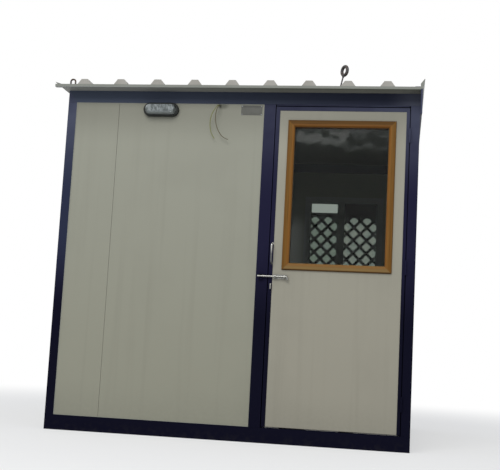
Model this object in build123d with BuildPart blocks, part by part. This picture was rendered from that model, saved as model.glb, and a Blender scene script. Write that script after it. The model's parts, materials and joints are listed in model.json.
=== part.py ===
"""Portable security guard booth: a welded steel frame filled with sandwich panels.

Millimetres. The origin is on the ground under the middle of the booth,
+X to the right seen from the door side, -Y out of the door wall, +Z up.
"""
from build123d import *
from math import cos, radians, sin, tan
import os

os.makedirs("parts", exist_ok=True)

# Overall sizes of the steel frame
width = 2440
depth = 2440
frame_top = 2348

# Base ring of rolled channel and the floor on it
base_height = 100
base_flange = 50
base_web = 5
joist_width = 40
joist_wall = 3
joist_count = 5
floor_thickness = 18

# Upright posts and the ring beam on them
post_side = 60
door_post_width = 78
tube_wall = 3
beam_height = 84

# Sandwich wall panels
wall_thickness = 50
wall_recess = 5
panel_width = 1022
front_narrow_width = 312
seam = 2
tongue_length = 12
tongue_thickness = 14
tongue_play = 1

# Doorway and door leaf
doorway_width = 908
door_gap = 6
door_top_gap = 15
door_thickness = 45
door_edge_width = 27
hinge_edge_width = 21
door_edge_wall = 2
stop_width = 22
stop_thickness = 9

# Window in the door: the clear glass and the bevelled frame round it
door_glass_width = 630
door_glass_height = 926
door_glass_sill = 1184
window_member = 47
window_proud = 14
window_bevel = 8
window_lap = 20
glass_thickness = 5
glass_hold = 11
fit = 0.5

# Door furniture
hinge_heights = (300, 1180, 2060)
hinge_length = 90
hinge_tab_reach = 15
hinge_tab_thickness = 2.5
barrel_radius = 7
barrel_stand = 8
pin_radius = 4
pin_clearance = 0.1
barrel_play = 0.5
handle_bar_radius = 6
handle_inset = 18.5
handle_low = 1178
handle_high = 1311
handle_stand = 42
rose_radius = 8
rose_thickness = 3
bolt_height = 1090
bolt_radius = 7
bolt_stand = 18
bolt_left_over_post = 65
bolt_length = 201
bolt_turn_down = 22
bolt_bend_radius = 12
bolt_clearance = 0.1
guide_plate_gap = 8
guide_plate_width = 88
guide_plate_height = 30
guide_plate_thickness = 3
guide_width = 12
guide_inset = 12
guide_wall = 5
keeper_width = 30
keeper_wall = 4
keeper_play = 6
keeper_inset = 6
staple_height = 38
staple_centre = 1024
staple_stand = 18
staple_width = 8
staple_thickness = 4
staple_bend = 5

# Rear window: sliding pair behind a diamond grille
rear_right_panel_width = 210
rear_window_width = 710
rear_window_sill = 1050
rear_window_height = 989
rear_member = 40
rear_track_depth = 12
rear_lip = 5
sash_thickness = 20
sash_member = 25
meeting_stile = 64
meeting_from_left = 297
rear_glass_thickness = 4
grille_height = 830
grille_margin = 22
grille_frame = 22
grille_top_bar = 41
grille_bar = 26
grille_thickness = 6
diamond_pitch = 119
lattice_shift = 33
lattice_drop = 9

# Roof sheet with ribs from front to back, and the folded trims round it
roof_overhang = 110
roof_left_reach = 20
roof_thickness = 16
rib_pitch = 260
rib_from_right = 217
rib_height = 37
rib_base = 100
rib_top = 45
roof_lap = 20
trim_thickness = 3
trim_return = 24
eave_reach = 66
eave_rise = 15
flashing_stand = 12
flashing_bottom = 2215
flashing_top = 2368
flashing_lip_rise = 50
flashing_lip_lean = 13
flashing_return = 46

# Lifting points on the roof
loop_bar_radius = 6
loop_width = 34
loop_height = 80
loop_inset = 10
loop_plate = 50
loop_plate_thickness = 5
eye_beside_rib = 15
eye_bar_radius = 11
eye_ring_radius = 30
eye_shank_radius = 5
eye_height = 150
eye_turn = 55
eye_lean = 12
eye_nut = 28
eye_nut_height = 12

# Bent bars and wires are swept or turned with this many sides
bar_sides = 8
wire_sides = 6

# Lamp and wire outlet on the door wall
lamp_from_door_post = 719
lamp_height = 2215
lamp_width = 248
lamp_tall = 94
lamp_body_depth = 30
lens_width = 222
lens_tall = 73
lens_depth = 45
lens_taper = 18
lens_bevel = 9
lamp_chamfer = 6
outlet_from_door_post = 309
outlet_height = 2250
outlet_radius = 9
outlet_length = 10
wire_radius = 2.3

# Planes that the pieces share
left = -width / 2
right = width / 2
front = -depth / 2
rear = depth / 2
post_bottom = base_height
post_top = frame_top - beam_height
wall_height = post_top - post_bottom
inner_left = left + post_side
inner_right = right - post_side
inner_front = front + post_side
inner_rear = rear - post_side
doorway_right = inner_right
doorway_left = doorway_right - doorway_width
door_post_left = doorway_left - door_post_width
wall_face_front = front + wall_recess
leaf_left = doorway_left + door_gap
leaf_right = doorway_right - door_gap
leaf_bottom = base_height + door_gap
leaf_top = post_top - door_top_gap
leaf_rear = front + door_thickness
leaf_middle = (leaf_left + leaf_right) / 2
leaf_panel_face = front + door_edge_wall
leaf_panel_thickness = door_thickness - 2 * door_edge_wall
roof_top = frame_top + roof_thickness
roof_front = front - roof_overhang
roof_length = depth + 2 * roof_overhang


def mitred_bar(length, reach, bar_width, bar_height, bottom, wall, flange_open):
    """One side of a mitred ring: along X, its outer face at y = -reach."""
    with BuildPart() as bar:
        with BuildSketch(Plane.YZ.offset(-length / 2)):
            with Locations((-reach + bar_width / 2, bottom + bar_height / 2)):
                Rectangle(bar_width, bar_height)
            if flange_open:
                with Locations((-reach + wall + bar_width / 2, bottom + bar_height / 2)):
                    Rectangle(bar_width, bar_height - 2 * wall, mode=Mode.SUBTRACT)
            else:
                with Locations((-reach + bar_width / 2, bottom + bar_height / 2)):
                    Rectangle(bar_width - 2 * wall, bar_height - 2 * wall, mode=Mode.SUBTRACT)
        extrude(amount=length)
        split(bisect_by=Plane((-length / 2, -reach, 0), z_dir=(1, -1, 0)), keep=Keep.TOP)
        split(bisect_by=Plane((length / 2, -reach, 0), z_dir=(-1, -1, 0)), keep=Keep.TOP)
    return bar.part


def square_post(x_low, x_high, y_low, y_high):
    """A hollow upright between the base ring and the ring beam."""
    with BuildPart() as post:
        with BuildSketch(Plane.XY.offset(post_bottom)):
            with Locations(((x_low + x_high) / 2, (y_low + y_high) / 2)):
                Rectangle(x_high - x_low, y_high - y_low)
                Rectangle(x_high - x_low - 2 * tube_wall, y_high - y_low - 2 * tube_wall,
                          mode=Mode.SUBTRACT)
        extrude(amount=post_top - post_bottom)
    return post.part


def wall_panel(length, height, groove_at_start, tongue_at_end):
    """A sandwich panel along +X from x = 0, outer face at y = 0, standing on z = 0."""
    body_end = length - seam if tongue_at_end else length
    with BuildPart() as panel:
        with BuildSketch():
            with Locations((body_end / 2, wall_thickness / 2)):
                Rectangle(body_end, wall_thickness)
            if tongue_at_end:
                with Locations((body_end + tongue_length / 2, wall_thickness / 2)):
                    Rectangle(tongue_length, tongue_thickness)
            if groove_at_start:
                groove_depth = tongue_length - seam + tongue_play
                with Locations((groove_depth / 2, wall_thickness / 2)):
                    Rectangle(groove_depth, tongue_thickness + 2 * tongue_play, mode=Mode.SUBTRACT)
        extrude(amount=height)
    return panel.part


def panel_run(total):
    """Lengths of the panels that fill a wall: one cut panel, then whole ones."""
    whole = int(total // panel_width)
    cut = total - whole * panel_width
    lengths = [panel_width] * whole
    if cut > 2 * tongue_length or whole == 0:
        lengths.insert(0, cut)
    else:
        lengths[0] += cut
    return lengths


def placed_run(lengths, height, place):
    """The panels of one wall side by side, each moved to its place."""
    panels = []
    start = 0
    for number, length in enumerate(lengths):
        blank = wall_panel(length, height, number > 0, number < len(lengths) - 1)
        panels.append(place * Location((start, 0, 0)) * blank)
        start += length
    return panels


def section_ring(opening_width, opening_height, section, plane):
    """A mitred frame: the section (u outwards, v against the plane's normal) round an opening."""
    with BuildPart() as ring:
        with BuildLine(plane) as path:
            Polyline(
                (-opening_width / 2, -opening_height / 2),
                (opening_width / 2, -opening_height / 2),
                (opening_width / 2, opening_height / 2),
                (-opening_width / 2, opening_height / 2),
                close=True,
            )
        corner = plane.from_local_coords(Vector(0, -opening_height / 2, 0))
        with BuildSketch(Plane(corner, x_dir=-plane.y_dir, z_dir=plane.x_dir)):
            with BuildLine():
                Polyline(*section, close=True)
            make_face()
        sweep(path=path.wires()[0], transition=Transition.RIGHT)
    return ring.part


# Base ring: four channels mitred at the corners, open towards the middle
front_channel = mitred_bar(width, depth / 2, base_flange, base_height, 0, base_web, True)
side_channel = mitred_bar(depth, width / 2, base_flange, base_height, 0, base_web, True)

with BuildPart() as base_front_beam:
    add(front_channel)
base_front_beam.part.label = "base_front_beam"
export_step(base_front_beam.part, "parts/base_front_beam.step")

with BuildPart() as base_rear_beam:
    add(front_channel.rotate(Axis.Z, 180))
base_rear_beam.part.label = "base_rear_beam"
export_step(base_rear_beam.part, "parts/base_rear_beam.step")

with BuildPart() as base_side_beams:
    add(side_channel.rotate(Axis.Z, -90))
    add(side_channel.rotate(Axis.Z, 90))
base_side_beams.part.label = "base_side_beams"
export_step(base_side_beams.part, "parts/base_side_beams.step")

# Joists between the front and rear channels; the middle one holds the origin
joist_length = depth - 2 * base_flange
joist_span = width - 2 * base_flange
joist_pitch = joist_span / (joist_count + 1)
with BuildPart() as floor_joists:
    with BuildSketch(Plane.XZ.offset(joist_length / 2)):
        with Locations((0, base_height / 2)):
            with GridLocations(joist_pitch, 1, joist_count, 1):
                Rectangle(joist_width, base_height)
                Rectangle(joist_width - 2 * joist_wall, base_height - 2 * joist_wall,
                          mode=Mode.SUBTRACT)
    extrude(amount=-joist_length)
floor_joists.part.label = "floor_joists"
export_step(floor_joists.part, "parts/floor_joists.step")

with BuildPart() as floor_deck:
    with BuildSketch(Plane.XY.offset(base_height)):
        Rectangle(width - 2 * post_side, depth - 2 * post_side)
    extrude(amount=floor_thickness)
floor_deck.part.label = "floor_deck"
export_step(floor_deck.part, "parts/floor_deck.step")

# Posts and the mitred ring beam on them
corner_list = [
    square_post(x, x + post_side, y, y + post_side)
    for x in (left, inner_right)
    for y in (front, inner_rear)
]
with BuildPart() as corner_posts:
    add(corner_list)
corner_posts.part.label = "corner_posts"
export_step(corner_posts.part, "parts/corner_posts.step")

door_post_blank = square_post(door_post_left, doorway_left, front, inner_front)
with BuildPart() as door_post:
    add(door_post_blank)
door_post.part.label = "door_post"
export_step(door_post.part, "parts/door_post.step")

front_beam = mitred_bar(width, depth / 2, post_side, beam_height, post_top, tube_wall, False)
side_beam = mitred_bar(depth, width / 2, post_side, beam_height, post_top, tube_wall, False)

with BuildPart() as top_front_beam:
    add(front_beam)
top_front_beam.part.label = "top_front_beam"
export_step(top_front_beam.part, "parts/top_front_beam.step")

with BuildPart() as top_rear_beam:
    add(front_beam.rotate(Axis.Z, 180))
top_rear_beam.part.label = "top_rear_beam"
export_step(top_rear_beam.part, "parts/top_rear_beam.step")

with BuildPart() as top_side_beams:
    add(side_beam.rotate(Axis.Z, -90))
    add(side_beam.rotate(Axis.Z, 90))
top_side_beams.part.label = "top_side_beams"
export_step(top_side_beams.part, "parts/top_side_beams.step")

# Door wall: a narrow panel at the corner and a wide one beside the door post
front_wide_width = door_post_left - inner_left - front_narrow_width
front_lengths = [front_narrow_width, front_wide_width]
front_place = Location((inner_left, wall_face_front, post_bottom))
front_panels = placed_run(front_lengths, wall_height, front_place)

with BuildPart() as front_wall_narrow_panel:
    add(front_panels[0])
front_wall_narrow_panel.part.label = "front_wall_narrow_panel"
export_step(front_wall_narrow_panel.part, "parts/front_wall_narrow_panel.step")

with BuildPart() as front_wall_wide_panel:
    add(front_panels[1])
front_wall_wide_panel.part.label = "front_wall_wide_panel"
export_step(front_wall_wide_panel.part, "parts/front_wall_wide_panel.step")

# Side walls
side_lengths = panel_run(inner_rear - inner_front)
left_place = Location((left + wall_recess, inner_rear, post_bottom), (0, 0, -90))
left_list = placed_run(side_lengths, wall_height, left_place)
with BuildPart() as left_wall_panels:
    add(left_list)
left_wall_panels.part.label = "left_wall_panels"
export_step(left_wall_panels.part, "parts/left_wall_panels.step")

right_place = Location((right - wall_recess, inner_front, post_bottom), (0, 0, 90))
right_list = placed_run(side_lengths, wall_height, right_place)
with BuildPart() as right_wall_panels:
    add(right_list)
right_wall_panels.part.label = "right_wall_panels"
export_step(right_wall_panels.part, "parts/right_wall_panels.step")

# Rear wall: panels beside, below and above the window
rear_window_right = inner_right - rear_right_panel_width
rear_window_left = rear_window_right - rear_window_width
rear_window_top = rear_window_sill + rear_window_height
rear_face = rear - wall_recess

rear_left_lengths = panel_run(rear_window_left - inner_left)
rear_left_lengths.reverse()
rear_left_place = Location((rear_window_left, rear_face, post_bottom), (0, 0, 180))
rear_left_list = placed_run(rear_left_lengths, wall_height, rear_left_place)
with BuildPart() as rear_wall_left_panels:
    add(rear_left_list)
rear_wall_left_panels.part.label = "rear_wall_left_panels"
export_step(rear_wall_left_panels.part, "parts/rear_wall_left_panels.step")

with BuildPart() as rear_wall_right_panel:
    with BuildSketch(Plane.XY.offset(post_bottom)):
        with Locations(((rear_window_right + inner_right) / 2, rear_face - wall_thickness / 2)):
            Rectangle(inner_right - rear_window_right, wall_thickness)
    extrude(amount=wall_height)
rear_wall_right_panel.part.label = "rear_wall_right_panel"
export_step(rear_wall_right_panel.part, "parts/rear_wall_right_panel.step")

rear_window_middle = rear_window_left + rear_window_width / 2
with BuildPart() as rear_wall_below_window:
    with BuildSketch(Plane.XY.offset(post_bottom)):
        with Locations((rear_window_middle, rear_face - wall_thickness / 2)):
            Rectangle(rear_window_width, wall_thickness)
    extrude(amount=rear_window_sill - post_bottom)
rear_wall_below_window.part.label = "rear_wall_below_window"
export_step(rear_wall_below_window.part, "parts/rear_wall_below_window.step")

with BuildPart() as rear_wall_above_window:
    with BuildSketch(Plane.XY.offset(rear_window_top)):
        with Locations((rear_window_middle, rear_face - wall_thickness / 2)):
            Rectangle(rear_window_width, wall_thickness)
    extrude(amount=post_top - rear_window_top)
rear_wall_above_window.part.label = "rear_wall_above_window"
export_step(rear_wall_above_window.part, "parts/rear_wall_above_window.step")

# Rear window frame: two tracks cut round the inside of one deep ring
rear_window_plane = Plane(
    (rear_window_middle, rear, rear_window_sill + rear_window_height / 2),
    x_dir=(1, 0, 0),
    z_dir=(0, -1, 0),
)
track_width = (post_side - 3 * rear_lip) / 2
outer_track = rear_lip
inner_track = 2 * rear_lip + track_width
rear_clear_width = rear_window_width - 2 * rear_member
rear_clear_height = rear_window_height - 2 * rear_member
track_clear_width = rear_clear_width + 2 * rear_track_depth
track_clear_height = rear_clear_height + 2 * rear_track_depth

with BuildPart() as rear_window_frame:
    with BuildSketch(rear_window_plane):
        Rectangle(rear_window_width, rear_window_height)
        Rectangle(rear_clear_width, rear_clear_height, mode=Mode.SUBTRACT)
    extrude(amount=post_side)
    for track in (outer_track, inner_track):
        with BuildSketch(rear_window_plane.offset(track)):
            Rectangle(track_clear_width, track_clear_height)
        extrude(amount=track_width, mode=Mode.SUBTRACT)
rear_window_frame.part.label = "rear_window_frame"
export_step(rear_window_frame.part, "parts/rear_window_frame.step")

# Sliding sashes, one in each track, lapping at the meeting stiles
sash_height = track_clear_height - tongue_play
sash_drop = -tongue_play / 2
sash_side_play = (track_width - sash_thickness) / 2
meeting_left = meeting_from_left - rear_window_width / 2
meeting_right = meeting_left + meeting_stile
track_reach = track_clear_width / 2 - tongue_play
pane_height = sash_height - 2 * sash_member
left_pane = (-track_reach + sash_member, meeting_left)
right_pane = (meeting_right, track_reach - sash_member)


def sash(track, start, end, pane):
    """A sash frame from start to end round its pane, standing on the bottom of its track."""
    with BuildPart() as made:
        with BuildSketch(rear_window_plane.offset(track + sash_side_play)):
            with Locations(((start + end) / 2, sash_drop)):
                Rectangle(end - start, sash_height)
            with Locations((sum(pane) / 2, sash_drop)):
                Rectangle(pane[1] - pane[0], pane_height, mode=Mode.SUBTRACT)
        extrude(amount=sash_thickness)
    return made.part


left_sash = sash(outer_track, -track_reach, meeting_right, left_pane)
with BuildPart() as rear_window_left_sash:
    add(left_sash)
rear_window_left_sash.part.label = "rear_window_left_sash"
export_step(rear_window_left_sash.part, "parts/rear_window_left_sash.step")

right_sash = sash(inner_track, meeting_left, track_reach, right_pane)
with BuildPart() as rear_window_right_sash:
    add(right_sash)
rear_window_right_sash.part.label = "rear_window_right_sash"
export_step(rear_window_right_sash.part, "parts/rear_window_right_sash.step")

with BuildPart() as rear_window_glass:
    for track, pane in ((outer_track, left_pane), (inner_track, right_pane)):
        glass_place = track + sash_side_play + (sash_thickness - rear_glass_thickness) / 2
        with BuildSketch(rear_window_plane.offset(glass_place)):
            with Locations((sum(pane) / 2, sash_drop)):
                Rectangle(pane[1] - pane[0], pane_height)
        extrude(amount=rear_glass_thickness)
rear_window_glass.part.label = "rear_window_glass"
export_step(rear_window_glass.part, "parts/rear_window_glass.step")

# Diamond grille on the outside: flat bars crossing at 45 degrees in a flat frame with a
# deep top bar, and a blank plate that closes the gap above its right part
grille_width = rear_window_width - 2 * grille_margin
grille_middle = grille_margin + grille_height / 2 - rear_window_height / 2
grille_top = grille_middle + grille_height / 2
grille_reach = int((grille_width + grille_height) / 2 / diamond_pitch) + 1
blank_top = rear_window_height / 2 - grille_margin
with BuildPart() as rear_window_grille:
    with BuildSketch(rear_window_plane):
        bar_length = 2 * (grille_width + grille_height)
        for number in range(-grille_reach, grille_reach + 1):
            for turn in (45, -45):
                with Locations((number * diamond_pitch + lattice_shift, grille_middle - lattice_drop)):
                    Rectangle(bar_length, grille_bar, rotation=turn)
        with Locations((0, grille_middle)):
            Rectangle(grille_width, grille_height, mode=Mode.INTERSECT)
        with BuildSketch(rear_window_plane, mode=Mode.ADD):
            with Locations((0, grille_middle)):
                Rectangle(grille_width, grille_height)
            with Locations((0, grille_middle - (grille_top_bar - grille_frame) / 2)):
                Rectangle(grille_width - 2 * grille_frame, grille_height - grille_frame - grille_top_bar,
                          mode=Mode.SUBTRACT)
            with Locations(((meeting_left + grille_width / 2) / 2, (grille_top + blank_top) / 2)):
                Rectangle(grille_width / 2 - meeting_left, blank_top - grille_top)
    extrude(amount=-grille_thickness)
rear_window_grille.part.label = "rear_window_grille"
export_step(rear_window_grille.part, "parts/rear_window_grille.step")

# Roof sheet: flat underneath, trapezoid ribs on top, one every pitch from the right.
# A flat cut strip laps onto its step at the foot of the last rib and carries the loops.
rib_count = int((width - rib_from_right - post_side - rib_base / 2) // rib_pitch) + 1
rib_places = [right - rib_from_right - number * rib_pitch for number in range(rib_count)]
rib_outline = []
for rib in rib_places:
    rib_outline.append((rib + rib_base / 2, roof_top))
    rib_outline.append((rib + rib_top / 2, roof_top + rib_height))
    rib_outline.append((rib - rib_top / 2, roof_top + rib_height))
    rib_outline.append((rib - rib_base / 2, roof_top))
roof_left = left - roof_left_reach
lap_right = rib_places[-1] - rib_base / 2
lap_left = lap_right - roof_lap
lap_level = frame_top + roof_thickness / 2
with BuildPart() as roof_panel:
    with BuildSketch(Plane.XZ.offset(-roof_front)):
        with BuildLine():
            Polyline(
                (lap_left, frame_top),
                (right, frame_top),
                (right, roof_top),
                *rib_outline,
                (lap_right, lap_level),
                (lap_left, lap_level),
                close=True,
            )
        make_face()
        with BuildLine():
            Polyline(
                (roof_left, frame_top),
                (lap_left - seam, frame_top),
                (lap_left - seam, lap_level + tongue_play),
                (lap_right - seam, lap_level + tongue_play),
                (lap_right - seam, roof_top),
                (roof_left, roof_top),
                close=True,
            )
        make_face()
    extrude(amount=-roof_length)
roof_panel.part.label = "roof_panel"
export_step(roof_panel.part, "parts/roof_panel.step")

# Folded angle along the front and rear edges of the roof, running on past the left edge
eave_out = left - eave_reach
with BuildPart() as roof_edge_trims:
    with BuildSketch(Plane.YZ.offset(eave_out)):
        with BuildLine():
            Polyline(
                (roof_front, roof_top),
                (roof_front - trim_thickness, roof_top),
                (roof_front - trim_thickness, frame_top - trim_thickness),
                (roof_front + trim_return, frame_top - trim_thickness),
                (roof_front + trim_return, frame_top),
                (roof_front, frame_top),
                close=True,
            )
        make_face()
    extrude(amount=right - eave_out)
    mirror(about=Plane.XZ)
roof_edge_trims.part.label = "roof_edge_trims"
export_step(roof_edge_trims.part, "parts/roof_edge_trims.step")

# Left eave: a flashing over the edge of the roof sheet, its lip leaning up and out
with BuildPart() as left_eave_trim:
    with BuildSketch(Plane.XZ.offset(-roof_front)):
        with BuildLine():
            Polyline(
                (roof_left, frame_top),
                (roof_left - trim_thickness, frame_top),
                (roof_left - trim_thickness, roof_top - trim_thickness),
                (eave_out, roof_top + eave_rise - trim_thickness),
                (eave_out, roof_top + eave_rise),
                (roof_left, roof_top),
                close=True,
            )
        make_face()
    extrude(amount=-roof_length)
left_eave_trim.part.label = "left_eave_trim"
export_step(left_eave_trim.part, "parts/left_eave_trim.step")

# Right side: upright flashing plate held off the posts, its top lip leaning out
plate_out = right + flashing_stand
plate_in = plate_out - trim_thickness
lip_out = plate_out + flashing_lip_lean
lip_top = flashing_top + flashing_lip_rise
with BuildPart() as right_side_flashing:
    with BuildSketch(Plane.XZ.offset(-roof_front)):
        with BuildLine():
            Polyline(
                (right, flashing_bottom),
                (plate_out, flashing_bottom),
                (plate_out, flashing_top),
                (lip_out, lip_top),
                (lip_out - trim_thickness, lip_top),
                (plate_in, flashing_top),
                (plate_in, roof_top + trim_thickness),
                (plate_in - flashing_return, roof_top + trim_thickness),
                (plate_in - flashing_return, roof_top),
                (plate_in, roof_top),
                (plate_in, flashing_bottom + trim_thickness),
                (right, flashing_bottom + trim_thickness),
                close=True,
            )
        make_face()
    extrude(amount=-roof_length)
right_side_flashing.part.label = "right_side_flashing"
export_step(right_side_flashing.part, "parts/right_side_flashing.step")

# Lifting loops: bent bars on plates at the two left corners
loop_x = left + loop_inset
loop_y = front + post_side / 2
loop_foot = roof_top + loop_plate_thickness
loop_straight = roof_top + loop_height - loop_bar_radius - loop_width / 2
with BuildPart() as lifting_loops:
    for y in (loop_y, -loop_y):
        with BuildSketch(Plane.XY.offset(roof_top)):
            with Locations((loop_x, y)):
                Rectangle(loop_plate, loop_plate)
        extrude(amount=loop_plate_thickness)
        with BuildLine(Plane.XZ.offset(-y)) as loop_path:
            rise = Line((loop_x - loop_width / 2, loop_foot), (loop_x - loop_width / 2, loop_straight))
            bend = ThreePointArc(
                rise @ 1,
                (loop_x, loop_straight + loop_width / 2),
                (loop_x + loop_width / 2, loop_straight),
            )
            Line(bend @ 1, (loop_x + loop_width / 2, loop_foot))
        with BuildSketch(Plane((loop_x - loop_width / 2, y, loop_foot), z_dir=(0, 0, 1))):
            RegularPolygon(loop_bar_radius, bar_sides)
        sweep(path=loop_path.wires()[0])
lifting_loops.part.label = "lifting_loops"
export_step(lifting_loops.part, "parts/lifting_loops.step")

# Lifting eyes: a nut, a leaning shank and a ring turned partly away
eye_rise = eye_height - eye_nut_height
eye_x = rib_places[1] - rib_base / 2 - eye_beside_rib
ring_axis = (cos(radians(eye_turn)), sin(radians(eye_turn)), 0)
with BuildPart() as lifting_eyes:
    for y in (loop_y, -loop_y):
        with BuildSketch(Plane((eye_x, y, roof_top), z_dir=(0, 0, 1))):
            RegularPolygon(eye_nut / 2, 6)
        extrude(amount=eye_nut_height)
        lean = (sin(radians(eye_lean)), 0, cos(radians(eye_lean)))
        shank = Plane((eye_x, y, roof_top + eye_nut_height), x_dir=(0, 1, 0), z_dir=lean)
        with BuildSketch(shank.offset(-eye_nut_height / 2)):
            Circle(eye_shank_radius)
        extrude(amount=eye_rise - eye_ring_radius + eye_nut_height / 2)
        ring_centre = shank.from_local_coords(Vector(0, 0, eye_rise))
        with BuildSketch(Plane(ring_centre, x_dir=(0, 0, 1), z_dir=ring_axis)):
            with Locations((eye_ring_radius, 0)):
                RegularPolygon(eye_bar_radius, bar_sides)
        revolve(axis=Axis(ring_centre, Vector(-ring_axis[1], ring_axis[0], 0)))
lifting_eyes.part.label = "lifting_eyes"
export_step(lifting_eyes.part, "parts/lifting_eyes.step")

# Stops behind the leaf, on the posts and under the ring beam
stop_front = inner_front - stop_thickness
with BuildPart() as door_stops:
    with BuildSketch(Plane.XZ.offset(-stop_front)):
        with Locations(((doorway_left + doorway_right) / 2, (base_height + post_top) / 2)):
            Rectangle(doorway_width, post_top - base_height)
        with Locations((
            (doorway_left + doorway_right) / 2,
            (base_height + post_top - stop_width) / 2,
        )):
            Rectangle(doorway_width - 2 * stop_width, post_top - base_height - stop_width,
                      mode=Mode.SUBTRACT)
    extrude(amount=-stop_thickness)
door_stops.part.label = "door_stops"
export_step(door_stops.part, "parts/door_stops.step")

# Door leaf: white sandwich panel with the window cut out
cut_width = door_glass_width + 2 * (window_member - window_lap)
cut_height = door_glass_height + 2 * (window_member - window_lap)
window_centre_height = door_glass_sill + door_glass_height / 2
panel_low = leaf_bottom + door_edge_wall
panel_high = leaf_top - door_edge_wall
with BuildPart() as door_panel:
    with BuildSketch(Plane.XZ.offset(-leaf_panel_face)):
        with Locations((leaf_middle, (panel_low + panel_high) / 2)):
            Rectangle(leaf_right - leaf_left - 2 * door_edge_wall, panel_high - panel_low)
        with Locations((leaf_middle, window_centre_height)):
            Rectangle(cut_width, cut_height, mode=Mode.SUBTRACT)
    extrude(amount=-leaf_panel_thickness)
door_panel.part.label = "door_panel"
export_step(door_panel.part, "parts/door_panel.step")

# Steel channels round the leaf: two stiles, and a top rail between them
with BuildPart() as door_stiles:
    with BuildSketch(Plane.XY.offset(leaf_bottom)):
        with Locations((leaf_left + door_edge_width / 2, front + door_thickness / 2)):
            Rectangle(door_edge_width, door_thickness)
        with Locations((leaf_right - hinge_edge_width / 2, front + door_thickness / 2)):
            Rectangle(hinge_edge_width, door_thickness)
        with Locations((leaf_middle, front + door_thickness / 2)):
            Rectangle(leaf_right - leaf_left - 2 * door_edge_wall, leaf_panel_thickness,
                      mode=Mode.SUBTRACT)
    extrude(amount=leaf_top - leaf_bottom)
door_stiles.part.label = "door_stiles"
export_step(door_stiles.part, "parts/door_stiles.step")

rail_length = leaf_right - leaf_left - door_edge_width - hinge_edge_width
with BuildPart() as door_rails:
    with BuildSketch(Plane.YZ.offset(leaf_left + door_edge_width)):
        with Locations((front + door_thickness / 2, leaf_top - door_edge_width / 2)):
            Rectangle(door_thickness, door_edge_width)
        with Locations((front + door_thickness / 2, panel_high - door_edge_width / 2)):
            Rectangle(leaf_panel_thickness, door_edge_width, mode=Mode.SUBTRACT)
        with Locations((front + door_thickness / 2, leaf_bottom + door_edge_wall / 2)):
            Rectangle(door_thickness, door_edge_wall)
    extrude(amount=rail_length)
door_rails.part.label = "door_rails"
export_step(door_rails.part, "parts/door_rails.step")

# Bevelled window frames clamp the glass from both faces of the leaf
mid = leaf_panel_thickness / 2
leg_out = window_member - window_lap - fit
rebate_high = mid - glass_thickness / 2
frame_section = (
    (0, rebate_high),
    (0, -window_proud + window_bevel),
    (window_bevel, -window_proud),
    (window_member - window_bevel / 2, -window_proud),
    (window_member, -window_proud + window_bevel),
    (window_member, 0),
    (leg_out, 0),
    (leg_out, mid),
    (glass_hold + fit, mid),
    (glass_hold + fit, rebate_high),
)
outside_plane = Plane(
    (leaf_middle, leaf_panel_face, window_centre_height), x_dir=(1, 0, 0), z_dir=(0, -1, 0)
)
outside_ring = section_ring(door_glass_width, door_glass_height, frame_section, outside_plane)
with BuildPart() as door_window_frame:
    add(outside_ring)
door_window_frame.part.label = "door_window_frame"
export_step(door_window_frame.part, "parts/door_window_frame.step")

inside_plane = Plane(
    (leaf_middle, leaf_panel_face + leaf_panel_thickness, window_centre_height),
    x_dir=(-1, 0, 0),
    z_dir=(0, 1, 0),
)
inside_ring = section_ring(door_glass_width, door_glass_height, frame_section, inside_plane)
with BuildPart() as door_window_inner_frame:
    add(inside_ring)
door_window_inner_frame.part.label = "door_window_inner_frame"
export_step(door_window_inner_frame.part, "parts/door_window_inner_frame.step")

with BuildPart() as door_window_glass:
    with BuildSketch(outside_plane.offset(-rebate_high)):
        Rectangle(door_glass_width + 2 * glass_hold, door_glass_height + 2 * glass_hold)
    extrude(amount=-glass_thickness)
door_window_glass.part.label = "door_window_glass"
export_step(door_window_glass.part, "parts/door_window_glass.step")

# Weld-on barrel hinges: the pin stands in front of the gap at the right edge of the leaf
hinge_x = leaf_right + door_gap / 2
hinge_y = front - barrel_stand
barrel_length = (hinge_length - barrel_play) / 2


def hinge_barrels(side, start, bored):
    """A barrel and its weld tab at each hinge; side is 1 on the post and -1 on the leaf."""
    with BuildPart() as barrels:
        for height in hinge_heights:
            bottom = height - hinge_length / 2
            with BuildSketch(Plane.XY.offset(bottom + start)):
                with Locations((
                    hinge_x + side * hinge_tab_reach / 2,
                    front - hinge_tab_thickness / 2,
                )):
                    Rectangle(hinge_tab_reach, hinge_tab_thickness)
                with Locations((hinge_x, hinge_y)):
                    Circle(barrel_radius)
                    if bored:
                        Circle(pin_radius + pin_clearance, mode=Mode.SUBTRACT)
            extrude(amount=barrel_length)
            if not bored:
                with BuildSketch(Plane.XY.offset(bottom)):
                    with Locations((hinge_x, hinge_y)):
                        Circle(pin_radius)
                extrude(amount=hinge_length)
    return barrels.part


post_barrels = hinge_barrels(1, 0, False)
with BuildPart() as post_hinge_barrels:
    add(post_barrels)
post_hinge_barrels.part.label = "post_hinge_barrels"
export_step(post_hinge_barrels.part, "parts/post_hinge_barrels.step")

leaf_barrels = hinge_barrels(-1, barrel_length + barrel_play, True)
with BuildPart() as door_hinge_barrels:
    add(leaf_barrels)
door_hinge_barrels.part.label = "door_hinge_barrels"
export_step(door_hinge_barrels.part, "parts/door_hinge_barrels.step")

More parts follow.
